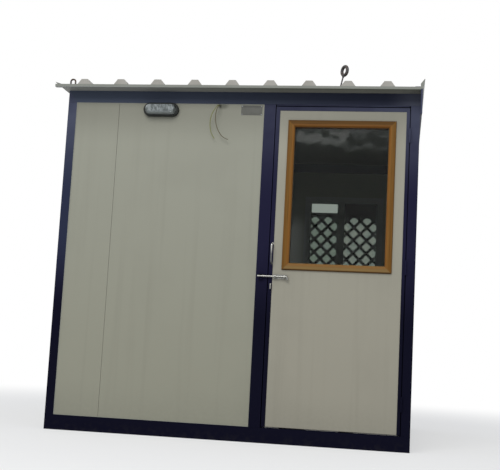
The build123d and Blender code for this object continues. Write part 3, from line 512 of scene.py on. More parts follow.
rust_patch = 12 * mm
pitting = 3 * mm
lifting_steel, tree, shader, place = start_finish("browned_steel", {"Metallic": 0.6, "Roughness": 0.55})
rust = add(tree, "ShaderNodeTexNoise", {"Vector": place, "Scale": 1 / rust_patch, "Detail": 4.0})
colour = layered(tree, "#4A4B4D", "#55453A", (rust, 0.4, 0.65))
feed(tree, shader, {"Base Color": colour, "Normal": bumps(tree, place, pitting, 0.2 * mm, 3.0)})


def two_shades(name, inputs, light, dark, patch, detail=2.0, skin=None):
    """A finish of two close shades in patches; skin is the spacing, depth and detail of its bumps."""
    material, tree, shader, place = start_finish(name, inputs)
    feed(tree, shader, {"Base Color": patches(tree, place, patch, light, dark, detail)})
    if skin:
        feed(tree, shader, {"Normal": bumps(tree, place, *skin)})
    return material


zinc = two_shades("zinc_plated_steel", {"Metallic": 1.0, "Roughness": 0.4}, "#9C9FA1", "#7D8083", 4 * mm)
print("metals", chrome.name, chrome_dark_below.name, lifting_steel.name, zinc.name)

# %% The lamp's two plastics
lamp_dust = 20 * mm
mould_grain = (1.5 * mm, 0.05 * mm)
lamp_plastic, tree, shader, place = start_finish(
    "black_moulded_plastic", {"Roughness": 0.4, "Specular IOR Level": 0.2}
)
dust = add(tree, "ShaderNodeTexNoise", {"Vector": place, "Scale": 1 / lamp_dust, "Detail": 3.0})
colour = layered(tree, "#20221F", "#3A3C3C", (dust, 0.4, 0.8, 0.0, 0.5))
feed(tree, shader, {"Base Color": colour, "Normal": bumps(tree, place, *mould_grain)})

prism_patch = 16 * mm
prism_drawn_out = (1, 1, 0.4)
cover_foot = (2.2, 2.185)
lens_plastic, tree, shader, place = start_finish(
    "prismatic_lamp_cover", {"Roughness": 0.3, "Transmission Weight": 0.12, "IOR": 1.35}
)
upright = add(tree, "ShaderNodeMapping", {"Vector": place, "Scale": prism_drawn_out})
prisms = add(tree, "ShaderNodeTexNoise", {"Vector": upright, "Scale": 1 / prism_patch, "Detail": 3.0})
sparkle = layered(tree, "#5D6361", "#9AA09F", (prisms, 0.4, 0.6))
height = add(tree, "ShaderNodeSeparateXYZ", {"Vector": place}).outputs["Z"]
feed(tree, shader, {"Base Color": layered(tree, sparkle, "#AEB5B6", (height, *cover_foot, 0.0, 0.7))})
print("plastics", lamp_plastic.name, lens_plastic.name)

# %% Rubber, sealant, grille paint and wire covers
seal_rubber = two_shades(
    "black_rubber_seal", {"Roughness": 0.7}, "#141516", "#232425", 10 * mm, skin=(1 * mm, 0.05 * mm, 2.0)
)
bush_rubber = two_shades("dusty_rubber_bush", {"Roughness": 0.75}, "#5A5C51", "#474940", 4 * mm)
sealant = two_shades("white_silicone_sealant", {"Roughness": 0.5}, "#A2A59C", "#8C8E84", 30 * mm)
brush_marks = (2 * mm, 0.08 * mm, 2.0)
grille_paint = two_shades(
    "green_black_brushed_paint", {"Roughness": 0.5}, "#161C19", "#2A332E", 20 * mm, 3.0, brush_marks
)
satin = {"Roughness": 0.5, "Specular IOR Level": 0.2}
sash_metal = two_shades("dulled_grey_aluminium", satin, "#A2A4A0", "#929490", 50 * mm, 3.0)
green_cover = two_shades("green_yellow_wire_cover", {"Roughness": 0.35}, "#77792B", "#5D611F", 15 * mm)
brown_cover = two_shades("brown_wire_cover", {"Roughness": 0.35}, "#554A20", "#413819", 15 * mm)
print("soft parts and paints", seal_rubber.name, sealant.name, green_cover.name, brown_cover.name)

# %% Floor board and bare plate
fleck = 8 * mm
board_patch = 300 * mm
floor_board, tree, shader, place = start_finish("sealed_floor_board", {"Roughness": 0.55})
flecks = add(tree, "ShaderNodeTexNoise", {"Vector": place, "Scale": 1 / fleck, "Detail": 4.0})
board = patches(tree, place, board_patch, "#857B6B", "#746A5B")
board = layered(tree, board, "#564D41", (flecks, 0.5, 0.7, 0.0, 0.5))
chips = add(tree, "ShaderNodeBump", {"Height": flecks, "Distance": 0.1 * mm, "Strength": 1.0})
feed(tree, shader, {"Base Color": board, "Normal": chips})

plate_darker_above = (2.234, 2.244)
plate_metal, tree, shader, place = start_finish(
    "bare_plate_aluminium", {"Roughness": 0.5, "Specular IOR Level": 0.2}
)
metal = patches(tree, place, 30 * mm, "#686862", "#585852", 3.0)
height = add(tree, "ShaderNodeSeparateXYZ", {"Vector": place}).outputs["Z"]
# darker along the top of the plate
feed(tree, shader, {"Base Color": layered(tree, metal, "#4E4E4A", (height, *plate_darker_above, 0.0, 0.5))})
print("board and plate", floor_board.name, plate_metal.name)

# %% [markdown]
# ## The two loose wires
# A pair of single-core wires for the lamp hangs from an outlet beside it, each with a cut bare end. A wire
# this thin is limp: it leaves its hole straight, drops under its own weight and swings slightly to one side
# where it was once coiled. A NURBS curve of order three follows a short list of points the way a soft wire
# would. Its order is set after the points, because Blender would otherwise keep it as straight runs. The
# routes are in millimetres, and x is counted from the middle of the outlet.

# %% Model the wires
outlet_low, outlet_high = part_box("wire_outlet")
outlet_x = (outlet_low.x + outlet_high.x) / 2
wire_diameter = 4.6 * mm
right_route = (
    (3.5, -1225, 2250),
    (3.5, -1260, 2250),
    (-14, -1264, 2212),
    (-21, -1259, 2170),
    (-17, -1255, 2126),
    (-6, -1249, 2085),
    (14, -1248, 2049),
    (41, -1247, 2019),
    (74, -1246, 2009),
)
left_route = (
    (-3.5, -1225, 2250),
    (-3.5, -1260, 2250),
    (-25, -1264, 2218),
    (-45, -1260, 2184),
    (-55, -1255, 2148),
    (-57, -1249, 2110),
    (-52, -1248, 2074),
    (-41, -1247, 2041),
    (-22, -1246, 2014),
)


def hanging_wire(name, route, material, node):
    """A limp wire along the route, in place of the model's own."""
    points = [Vector((outlet_x + x * mm, y * mm, z * mm)) for x, y, z in route]
    curve = bpy.data.curves.new(name, "CURVE")
    curve.dimensions = "3D"
    curve.bevel_depth = wire_diameter / 2
    curve.bevel_resolution = 4
    curve.use_fill_caps = True
    curve.resolution_u = 12
    spline = curve.splines.new("NURBS")
    spline.points.add(len(points) - 1)
    for control, point in zip(spline.points, points):
        control.co = (*point, 1)
    spline.order_u = 3
    spline.use_endpoint_u = True
    curve.materials.append(material)
    piece = bpy.data.objects.new(name, curve)
    scene.collection.objects.link(piece)
    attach(piece, "booth")
    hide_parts(node)


hanging_wire("right_lamp_wire", right_route, brown_cover, "right_wire")
hanging_wire("left_lamp_wire", left_route, green_cover, "left_wire")
print("wires leave the wall at", round(outlet_x, 3), 2.25)

# %% [markdown]
# ## Finishes on the model's own pieces
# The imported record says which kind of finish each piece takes, so one table turns those names into the
# materials above. A few differ: each window frame of the door has its own foil, with the grain turned at its
# own corners, the rear panes are the dusty ones, and the door's sheet is a shade warmer than the walls'.

# %% Give every piece its finish
by_slot = {
    "frame_paint": frame_enamel,
    "panel_white": panel_sheet,
    "roof_sheet": roof_sheet,
    "trim_grey": trim_sheet,
    "trim_navy": side_plate,
    "floor_board": floor_board,
    "window_glass": clean_glass,
    "window_grey": sash_metal,
    "grille_paint": grille_paint,
    "fitting_chrome": chrome,
    "lamp_black": lamp_plastic,
    "lamp_lens": lens_plastic,
    "wire_cover": green_cover,
    "lifting_steel": lifting_steel,
    "stop_seal": frame_enamel,
}
finishes = {s["node"]: by_slot.get(s["material_slot"]) for s in frame["record"]["subparts"]}
finishes.update(foils)
finishes["rear_window_glass"] = dusty_glass
finishes["door_panel"] = door_sheet
finishes["right_wire"] = brown_cover
finishes["wire_outlet"] = bush_rubber
for node, piece in frame["nodes"].items():
    for material_slot in piece.material_slots:
        material_slot.material = finishes[node]
print("finished", len(finishes), "nodes")

# %% [markdown]
# ## Beads of seal and sealant
# A bead is a thin round strip laid along a path of straight runs: the black gasket round each pane, or the
# silicone in the corner between a wall panel and its posts. A poly curve with a round bevel makes it, and is
# then turned to a mesh, so that every bead is one closed tube.

# %% A bead along a path


def keep_mesh(name, mesh, body):
    """Links a finished mesh as a piece that rides on a body."""
    mesh.name = name
    piece = bpy.data.objects.new(name, mesh)
    scene.collection.objects.link(piece)
    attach(piece, body)
    return piece


def tube_mesh(name, runs, radius, material, closed, sides=2):
    """One mesh of round tubes, one along each run of points."""
    curve = bpy.data.curves.new(name, "CURVE")
    curve.dimensions = "3D"
    curve.bevel_depth = radius
    curve.bevel_resolution = sides
    curve.use_fill_caps = not closed
    for run in runs:
        spline = curve.splines.new("POLY")
        spline.points.add(len(run) - 1)
        for control, point in zip(spline.points, run):
            control.co = (*point, 1)
        spline.use_cyclic_u = closed
        spline.use_smooth = True
    curve.materials.append(material)
    holder = bpy.data.objects.new(name, curve)
    scene.collection.objects.link(holder)
    graph = bpy.context.evaluated_depsgraph_get()
    mesh = bpy.data.meshes.new_from_object(holder.evaluated_get(graph), depsgraph=graph)
    bpy.data.objects.remove(holder)
    return mesh


def rectangle(x_low, x_high, z_low, z_high, y):
    """The corners of an upright rectangle that faces the door side."""
    return [(x_low, y, z_low), (x_high, y, z_low), (x_high, y, z_high), (x_low, y, z_high)]


# %% Gaskets round the panes
gasket_radius = 3.5 * mm
door_glass_low, door_glass_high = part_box("door_window_glass")
glass_hold = 11 * mm
pane = (
    door_glass_low.x + glass_hold,
    door_glass_high.x - glass_hold,
    door_glass_low.z + glass_hold,
    door_glass_high.z - glass_hold,
)
door_runs = [
    rectangle(*pane, door_glass_low.y - gasket_radius / 2),
    rectangle(*pane, door_glass_high.y + gasket_radius / 2),
]
keep_mesh("door_glass_gaskets", tube_mesh("door_glass_gaskets", door_runs, gasket_radius, seal_rubber, True),
          "door")

rear_runs = []
rear_panes = frame["nodes"]["rear_window_glass"].data.vertices
pane_faces = sorted({round(v.co.y, 4) for v in rear_panes})
for near, far in (pane_faces[:2], pane_faces[2:]):
    corners = [v.co for v in rear_panes if near - 1 * mm < v.co.y < far + 1 * mm]
    edges = (
        min(c.x for c in corners),
        max(c.x for c in corners),
        min(c.z for c in corners),
        max(c.z for c in corners),
    )
    rear_runs.append(rectangle(*edges, near - gasket_radius / 2))
    rear_runs.append(rectangle(*edges, far + gasket_radius / 2))
keep_mesh("rear_glass_gaskets", tube_mesh("rear_glass_gaskets", rear_runs, gasket_radius, seal_rubber, True),
          "booth")
print("gaskets", len(door_runs) + len(rear_runs))

# %% Sealant between the panels and the frame
sealant_radius = 2.6 * mm
post_low, post_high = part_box("corner_posts")
door_post_low, door_post_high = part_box("door_post")
post_side = door_post_high.y - door_post_low.y
wall_bottom = post_low.z
wall_top = post_high.z
front_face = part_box("front_wall_wide_panel")[0].y
inner_left = post_low.x + post_side
inner_right = post_high.x - post_side
side_runs = [
    rectangle(inner_left, door_post_low.x, wall_bottom, wall_top, front_face),
    rectangle(inner_left, inner_right, wall_bottom, wall_top, -front_face),
]
for x in (front_face, -front_face):
    side_runs.append([(x, y, z) for y, _, z in rectangle(inner_left, inner_right, wall_bottom, wall_top, 0)])
keep_mesh("panel_sealant", tube_mesh("panel_sealant", side_runs, sealant_radius, sealant, True),
          "booth")
print("sealant runs", len(side_runs))

# %% [markdown]
# ## Fasteners by Geometry Nodes
# Screws, bolts and rivets repeat over the whole booth. One tree makes them all: it takes loose points that
# carry the direction each fastener faces, puts a head on a washer at each, turns each head by a seeded
# random amount, and realizes the result. The inputs are the sizes in metres and the number of sides, six for
# a hexagon head and more for a round one.

# %% Helpers for geometry trees


def new_tree(name, inputs):
    """An empty geometry tree with a geometry output and these named inputs."""
    tree = bpy.data.node_groups.new(name, "GeometryNodeTree")
    tree.interface.new_socket("Geometry", in_out="OUTPUT", socket_type="NodeSocketGeometry")
    for label, kind, value in inputs:
        socket = tree.interface.new_socket(label, in_out="INPUT", socket_type="NodeSocket" + kind)
        if value is not None:
            socket.default_value = value
    return tree, tree.nodes.new("NodeGroupInput").outputs


def finish_tree(tree, geometry, material):
    """Realizes what the tree made, sets its material and hands it to the output."""
    real = add(tree, "GeometryNodeRealizeInstances", {"Geometry": geometry})
    painted = add(tree, "GeometryNodeSetMaterial", {"Geometry": real, "Material": material})
    add(tree, "NodeGroupOutput", {"Geometry": painted})


def grown(name, tree, mesh, values, body):
    """Runs a tree on a mesh with these inputs and keeps the result as a plain mesh on a body."""
    holder = bpy.data.objects.new(name, mesh)
    scene.collection.objects.link(holder)
    modifier = holder.modifiers.new(name, "NODES")
    modifier.node_group = tree
    for item in tree.interface.items_tree:
        if item.name in values and item.in_out == "INPUT":
            modifier[item.identifier] = values[item.name]
    graph = bpy.context.evaluated_depsgraph_get()
    made = bpy.data.meshes.new_from_object(holder.evaluated_get(graph), depsgraph=graph)
    holder.modifiers.remove(modifier)
    bpy.data.objects.remove(holder)
    print(name, len(made.polygons), "faces")
    return keep_mesh(name, made, body)


# %% The fastener tree
fastener_tree, given = new_tree("fasteners", [
    ("Geometry", "Geometry", None),
    ("Sides", "Int", 6),
    ("Head Radius", "Float", 5 * mm),
    ("Head Top Radius", "Float", 5 * mm),
    ("Head Height", "Float", 4 * mm),
    ("Washer Radius", "Float", 8 * mm),
    ("Washer Height", "Float", 1 * mm),
    ("Seed", "Int", 1),
    ("Material", "Material", None),
])
washer = add(fastener_tree, "GeometryNodeMeshCylinder", {
    "Vertices": 16, "Radius": given["Washer Radius"], "Depth": given["Washer Height"],
})
half_washer = add(fastener_tree, "ShaderNodeMath", {0: given["Washer Height"], 1: 0.5}, operation="MULTIPLY")
washer_lift = add(fastener_tree, "ShaderNodeCombineXYZ", {"Z": half_washer})
washer = add(fastener_tree, "GeometryNodeTransform", {"Geometry": washer, "Translation": washer_lift})
head = add(fastener_tree, "GeometryNodeMeshCone", {
    "Vertices": given["Sides"],
    "Radius Top": given["Head Top Radius"],
    "Radius Bottom": given["Head Radius"],
    "Depth": given["Head Height"],
})
head_lift = add(fastener_tree, "ShaderNodeCombineXYZ", {"Z": given["Washer Height"]})
head = add(fastener_tree, "GeometryNodeTransform", {"Geometry": head, "Translation": head_lift})
both = add(fastener_tree, "GeometryNodeJoinGeometry")
for part in (washer, head):
    feed(fastener_tree, both, {"Geometry": part})
facing = add(fastener_tree, "GeometryNodeInputNamedAttribute", {"Name": "facing"}, data_type="FLOAT_VECTOR")
turned = add(fastener_tree, "FunctionNodeAlignRotationToVector", {"Vector": facing}, axis="Z")
placed = add(fastener_tree, "GeometryNodeInstanceOnPoints", {
    "Points": given["Geometry"], "Instance": both, "Rotation": turned,
})
spin = add(fastener_tree, "FunctionNodeRandomValue", {
    "Min": 0.0, "Max": pi, "Seed": given["Seed"],
}, data_type="FLOAT")
spin_turn = add(fastener_tree, "ShaderNodeCombineXYZ", {"Z": spin})
spun = add(fastener_tree, "GeometryNodeRotateInstances", {
    "Instances": placed, "Rotation": spin_turn, "Local Space": True,
})
finish_tree(fastener_tree, spun, given["Material"])


def fasteners(name, places, sizes, material, body):
    """Puts one fastener at each (point, direction); sizes are the tree's inputs."""
    mesh = bpy.data.meshes.new(name + "_points")
    mesh.from_pydata([point for point, _ in places], [], [])
    facing = mesh.attributes.new("facing", "FLOAT_VECTOR", "POINT")
    facing.data.foreach_set("vector", [part for _, way in places for part in way])
    return grown(name, fastener_tree, mesh, {**sizes, "Material": material}, body)


print("fastener tree with", len(fastener_tree.nodes), "nodes")

# %% [markdown]
# ## Roof screws
# The roof sheet is held down by self-drilling screws through the crown of each rib, one above every beam and
# one between them. Each is a hexagon head on a steel washer, which squeezes a black rubber washer onto the
# sheet. The ribs are found from the roof's own vertices, so that the screws follow the model.

# %% Roof screws and their rubber washers
roof = frame["nodes"]["roof_panel"]
roof_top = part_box("roof_panel")[1].z
crowns = sorted({round(v.co.x, 4) for v in roof.data.vertices if v.co.z > roof_top - 1 * mm})
ribs = [(left + right) / 2 for left, right in zip(crowns[::2], crowns[1::2])]
up = (0, 0, 1)
screw_rows = (post_low.y + post_side / 2, 0, post_high.y - post_side / 2)
washer_stack = 3 * mm
screw_places = [((x, y, roof_top), up) for x in ribs for y in screw_rows]
rubber = {"Sides": 12, "Head Radius": 8 * mm, "Head Top Radius": 7 * mm, "Head Height": 1 * mm,
          "Washer Radius": 9 * mm, "Washer Height": 2 * mm}
fasteners("roof_screw_rubbers", screw_places, rubber, seal_rubber, "booth")
hexagon = {"Sides": 6, "Head Radius": 5.5 * mm, "Head Top Radius": 5.2 * mm, "Head Height": 5 * mm,
           "Washer Radius": 7.5 * mm, "Washer Height": 1.2 * mm}
raised_places = [((x, y, z + washer_stack), way) for (x, y, z), way in screw_places]
fasteners("roof_screws", raised_places, hexagon, zinc, "booth")
print("ribs", len(ribs), "screws", len(screw_places))

# %% [markdown]
# ## Rivets along the flashings
# The folded trims are joined to the roof sheet by blind rivets about a hand and a half apart, set from below
# through their narrow return. Only the low domes show, in the colour of the sheet.

# %% Rivets
rivet = {"Sides": 10, "Head Radius": 3 * mm, "Head Top Radius": 1.6 * mm, "Head Height": 1.4 * mm,
         "Washer Radius": 3.6 * mm, "Washer Height": 0.5 * mm}
rivet_pitch = 0.3
edge_low, edge_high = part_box("roof_edge_trims")
eave_low, eave_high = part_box("left_eave_trim")
plate_low, plate_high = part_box("right_side_flashing")


def spaced(low, high, pitch):
    """Places about pitch apart, half a pitch in from both ends."""
    count = round((high - low) / pitch)
    return [low + (number + 0.5) * (high - low) / count for number in range(count)]


return_middle = 15 * mm
down = (0, 0, -1)
return_rows = (edge_low.y + return_middle, edge_high.y - return_middle)
first_rivet = edge_low.x + 0.1
rivet_places = [
    ((x, y, edge_low.z), down)
    for x in spaced(first_rivet, edge_high.x, rivet_pitch)
    for y in return_rows
]
eave_leg = eave_high.x - 3 * mm
eave_middle = eave_low.z + 7 * mm
rivet_places += [
    ((eave_leg, y, eave_middle), (-1, 0, 0)) for y in spaced(eave_low.y, eave_high.y, rivet_pitch)
]
fasteners("trim_rivets", rivet_places, rivet, trim_sheet, "booth")
side_row = 2235 * mm
plate_face = 1232 * mm
side_rivets = [
    ((plate_face, y, side_row), (1, 0, 0)) for y in spaced(plate_low.y, plate_high.y, rivet_pitch)
]
fasteners("side_plate_rivets", side_rivets, rivet, side_plate, "booth")
print("rivets", len(rivet_places) + len(side_rivets))

# %% [markdown]
# ## Weld beads
# The frame's mitred corners and the hinge tabs are arc welded. A bead is a chain of overlapping puddles, so
# a second tree lays flattened balls along an edge, a few millimetres apart and each slightly different. The
# enamel goes over them.

# %% The weld tree
least_puddle = (0.8, 0.8, 0.8)
most_puddle = (1.1, 1.1, 1.1)
weld_tree, given = new_tree("weld_bead", [
    ("Geometry", "Geometry", None),
    ("Ripple Pitch", "Float", 3 * mm),
    ("Ripple Radius", "Float", 3 * mm),
    ("Seed", "Int", 4),
    ("Material", "Material", None),
])
seam_curve = add(weld_tree, "GeometryNodeMeshToCurve", {"Mesh": given["Geometry"]})
seam_points = add(weld_tree, "GeometryNodeResampleCurve", {
    "Curve": seam_curve, "Length": given["Ripple Pitch"],
}, mode="LENGTH")
puddle = add(weld_tree, "GeometryNodeMeshIcoSphere", {"Radius": given["Ripple Radius"], "Subdivisions": 2})
uneven = add(weld_tree, "FunctionNodeRandomValue", {
    "Min": least_puddle, "Max": most_puddle, "Seed": given["Seed"],
}, data_type="FLOAT_VECTOR")
beads = add(weld_tree, "GeometryNodeInstanceOnPoints", {
    "Points": seam_points, "Instance": puddle, "Scale": uneven,
})
finish_tree(weld_tree, beads, given["Material"])


def welds(name, seams, radius, body):
    """Lays a weld bead along each seam, a pair of points."""
    mesh = bpy.data.meshes.new(name + "_seams")
    corners = [point for seam in seams for point in seam]
    mesh.from_pydata(corners, [(2 * n, 2 * n + 1) for n in range(len(seams))], [])
    values = {"Ripple Pitch": radius, "Ripple Radius": radius, "Material": frame_enamel}
    return grown(name, weld_tree, mesh, values, body)


print("weld tree with", len(weld_tree.nodes), "nodes")

# %% Welds of the frame
frame_bead = 2 * mm
bead_sunk = 0.6 * mm
bead_inset = 1 * mm
frame_seams = []
for x, way in ((post_low.x, 1), (post_high.x, -1)):
    near = x + way * bead_inset
    far = x + way * (post_side - bead_inset)
    for face in (post_low.y + bead_sunk, post_high.y - bead_sunk):
        for z in (wall_top, wall_bottom):
            frame_seams.append(((near, face, z), (far, face, z)))
post_front = door_post_low.y + bead_sunk
for z in (wall_top, wall_bottom):
    frame_seams.append(((door_post_low.x, post_front, z), (door_post_high.x, post_front, z)))
welds("frame_welds", frame_seams, frame_bead, "booth")

# %% [markdown]
# ## The ribbed lamp cover
# The bulkhead lamp has a clear moulded cover with rounded shoulders and a row of prism ribs across it. Its
# outline is a stadium. The cover is built as rings: each ring is the outline drawn in by some amount and
# lifted by some height, from the seat on the housing, up the drafted wall and over the shoulder to the
# middle line. The ribs repeat, so a tree lays them over the front, and where the outline is round it makes
# each as long as the chord there.

# %% Sizes and outline of the cover
lens_low, lens_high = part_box("lamp_lens")
lens_centre = (lens_low + lens_high) / 2
lens_half = (lens_high.x - lens_low.x) / 2
lens_radius = (lens_high.z - lens_low.z) / 2
lens_depth = lens_high.y - lens_low.y
round_steps = 20
shoulder_steps = 8
draft = 9 * mm
shoulder = 12 * mm
rib_rise = 1.6 * mm
rib_pitch = 8 * mm
rib_flatness = 0.55
rib_row_share = 0.93
rib_over_shoulder = 0.6


def stadium(half_length, radius, inset, y):
    """The outline drawn in by inset, as points in the plane y."""
    points = []
    straight = half_length - radius
    for side in (1, -1):
        for step in range(round_steps + 1):
            angle = side * pi / 2 - pi * step / round_steps
            x = side * straight + (radius - inset) * cos(angle)
            z = (radius - inset) * sin(angle)
            points.append((lens_centre.x + x, y, lens_centre.z + z))
    return points


print("lamp cover is", round(2 * lens_half, 3), "long and", round(lens_depth, 3), "deep")

# %% The cover's rings
levels = [(0.0, 0.0), (draft, lens_depth - shoulder - rib_rise)]
for step in range(1, shoulder_steps + 1):
    turn = pi / 2 * step / shoulder_steps
    levels.append((draft + shoulder * (1 - cos(turn)), lens_depth - rib_rise - shoulder * (1 - sin(turn))))
levels.append((lens_radius - 0.01 * mm, lens_depth - rib_rise))
lens_mesh = bmesh.new()
rings = []
for inset, rise in levels:
    outline = stadium(lens_half, lens_radius, inset, lens_high.y - rise)
    rings.append([lens_mesh.verts.new(point) for point in outline])
for lower, upper in zip(rings, rings[1:]):
    for number in range(len(lower)):
        after = (number + 1) % len(lower)
        lens_mesh.faces.new((lower[number], lower[after], upper[after], upper[number]))
lens_mesh.faces.new(rings[0])
bmesh.ops.remove_doubles(lens_mesh, verts=lens_mesh.verts, dist=0.05 * mm)
bmesh.ops.dissolve_degenerate(lens_mesh, edges=lens_mesh.edges, dist=0.01 * mm)
bmesh.ops.recalc_face_normals(lens_mesh, faces=lens_mesh.faces)
for face in lens_mesh.faces:
    face.smooth = True
cover_mesh = bpy.data.meshes.new("lamp_cover")
lens_mesh.to_mesh(cover_mesh)
lens_mesh.free()
cover_mesh.materials.append(lens_plastic)
cover = keep_mesh("lamp_cover", cover_mesh, "booth")
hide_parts("lamp_lens")
print("lamp cover", len(cover_mesh.polygons), "faces")

# %% The prism ribs
rib_tree, given = new_tree("prism_ribs", [
    ("Straight Half Length", "Float", 0.073),
    ("End Radius", "Float", 0.02),
    ("Rib Pitch", "Float", 8 * mm),
    ("Rib Radius", "Float", 3 * mm),
    ("Material", "Material", None),
])
straight = given["Straight Half Length"]
end_radius = given["End Radius"]
reach = add(rib_tree, "ShaderNodeMath", {0: straight, 1: end_radius}, operation="ADD")
ends = []
for way in (-1, 1):
    end = add(rib_tree, "ShaderNodeMath", {0: reach, 1: way * rib_row_share}, operation="MULTIPLY")
    ends.append(add(rib_tree, "ShaderNodeCombineXYZ", {"X": end}))
row = add(rib_tree, "GeometryNodeCurvePrimitiveLine", {"Start": ends[0], "End": ends[1]})
row = add(rib_tree, "GeometryNodeResampleCurve", {"Curve": row, "Length": given["Rib Pitch"]}, mode="LENGTH")
where = add(rib_tree, "ShaderNodeSeparateXYZ", {"Vector": add(rib_tree, "GeometryNodeInputPosition")})
where = where.outputs["X"]
past = add(rib_tree, "ShaderNodeMath", {0: where}, operation="ABSOLUTE")
past = add(rib_tree, "ShaderNodeMath", {0: past, 1: straight}, operation="SUBTRACT")
past = add(rib_tree, "ShaderNodeMath", {0: past, 1: 0.0}, operation="MAXIMUM")
share = add(rib_tree, "ShaderNodeMath", {0: past, 1: end_radius}, operation="DIVIDE")
share = add(rib_tree, "ShaderNodeMath", {0: share, 1: share}, operation="MULTIPLY")
share = add(rib_tree, "ShaderNodeMath", {0: 1.0, 1: share}, operation="SUBTRACT")
chord = add(rib_tree, "ShaderNodeMath", {0: share}, operation="SQRT")
rib_length = add(rib_tree, "ShaderNodeMath", {0: end_radius, 1: 2.0}, operation="MULTIPLY")
bar = add(rib_tree, "GeometryNodeMeshCylinder", {
    "Vertices": 12, "Radius": given["Rib Radius"], "Depth": rib_length,
})
chord_scale = add(rib_tree, "ShaderNodeCombineXYZ", {"X": 1.0, "Y": rib_flatness, "Z": chord})
laid = add(rib_tree, "GeometryNodeInstanceOnPoints", {"Points": row, "Instance": bar, "Scale": chord_scale})
finish_tree(rib_tree, laid, given["Material"])
rib_values = {
    "Straight Half Length": lens_half - lens_radius,
    "End Radius": lens_radius - draft - shoulder * rib_over_shoulder,
    "Rib Pitch": rib_pitch,
    "Rib Radius": rib_rise / rib_flatness,
    "Material": lens_plastic,
}
rib_seed = bpy.data.meshes.new("rib_seed")
ribs_piece = grown("lamp_cover_ribs", rib_tree, rib_seed, rib_values, "booth")
ribs_piece.data.transform(Matrix.Translation((lens_centre.x, lens_low.y + rib_rise, lens_centre.z)))

# %% [markdown]
# ## The pull handle and the lifting points
# These are round bars bent while hot, so their corners are smooth arcs. The model's own bars have eight flat
# sides, which would catch the light as facets, so round ones take their place along the same middle lines.
# One function rounds a path's corners, the bead function lays a tube on it, and a lathe function turns a
# small profile round an axis for the roses, nuts and caps. A block with eased edges makes foot plates.

# %% Bent bars


def bent(corners, radius, steps=8):
    """The path through the corners, with an arc of this radius at each."""
    corners = [Vector(corner) for corner in corners]
    path = [corners[0]]
    for before, here, after in zip(corners, corners[1:], corners[2:]):
        back = (before - here).normalized()
        ahead = (after - here).normalized()
        half_angle = back.angle(ahead) / 2
        middle = here + (back + ahead).normalized() * radius / sin(half_angle)
        cut = radius * cos(half_angle) / sin(half_angle)
        start = here + back * cut - middle
        stop = here + ahead * cut - middle
        for step in range(steps + 1):
            share = step / steps
            sweep = pi - 2 * half_angle
            part = start * sin((1 - share) * sweep) + stop * sin(share * sweep)
            path.append(middle + part / sin(sweep))
    return path + [corners[-1]]


# %% Turned pieces and blocks


def turned_shape(mesh, foot, axis, profile, sides=24):
    """Adds a closed turned shape: the profile's (radius, height) pairs round the axis from its foot."""
    axis = Vector(axis).normalized()
    across = axis.orthogonal().normalized()
    beside = axis.cross(across)
    rings = []
    for radius, height in profile:
        turns = [2 * pi * (n + 0.5) / sides for n in range(sides)]
        points = [foot + axis * height + (across * cos(t) + beside * sin(t)) * radius for t in turns]
        rings.append([mesh.verts.new(point) for point in points])
    made = [mesh.faces.new(list(reversed(rings[0]))), mesh.faces.new(rings[-1])]
    for lower, upper in zip(rings, rings[1:]):
        for n in range(sides):
            after = (n + 1) % sides
            made.append(mesh.faces.new((lower[n], lower[after], upper[after], upper[n])))
    return made


def block(mesh, low, high, edge):
    """Adds a box with its edges rounded off."""
    centre = (Vector(low) + Vector(high)) / 2
    size = Vector(high) - Vector(low)
    place = Matrix.Translation(centre) @ Matrix.Diagonal((*size, 1))
    made = bmesh.ops.create_cube(mesh, size=1, matrix=place)
    edges = list(dict.fromkeys(e for v in made["verts"] for e in v.link_edges))
    bmesh.ops.bevel(mesh, geom=edges, offset=edge, segments=2, profile=0.5, affect="EDGES")


def close_mesh(name, mesh, material, tubes=None):
    """Turns the working mesh into a kept one, joined with ready tubes."""
    if tubes:
        mesh.from_mesh(tubes)
    bmesh.ops.recalc_face_normals(mesh, faces=mesh.faces)
    for face in mesh.faces:
        face.smooth = True
    kept = bpy.data.meshes.new(name)
    mesh.to_mesh(kept)
    mesh.free()
    kept.materials.append(material)
    kept.set_sharp_from_angle(angle=radians(35))
    return kept


# %% Pull handle
handle_low, handle_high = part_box("pull_handle")
handle_bar = 6 * mm
rose_radius = 8 * mm
handle_x = (handle_low.x + handle_high.x) / 2
handle_out = handle_low.y + handle_bar
handle_in = handle_high.y
lower_end = handle_low.z + rose_radius
upper_end = handle_high.z - rose_radius
handle_corners = [
    (handle_x, handle_in, lower_end),
    (handle_x, handle_out, lower_end),
    (handle_x, handle_out, upper_end),
    (handle_x, handle_in, upper_end),
]
handle_path = bent(handle_corners, 21 * mm, 12)
handle_tube = tube_mesh("handle_bar", [handle_path], handle_bar, chrome_dark_below, False, 6)
roses = bmesh.new()
rose_profile = [(8 * mm, 0), (8 * mm, 1.6 * mm), (7.6 * mm, 2.6 * mm), (6.6 * mm, 3 * mm)]
for height in (lower_end, upper_end):
    turned_shape(roses, Vector((handle_x, handle_in, height)), (0, -1, 0), rose_profile)
pull = keep_mesh("door_pull", close_mesh("door_pull", roses, chrome_dark_below, handle_tube),
                 "door")
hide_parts("pull_handle")
print("door pull", len(pull.data.polygons), "faces")

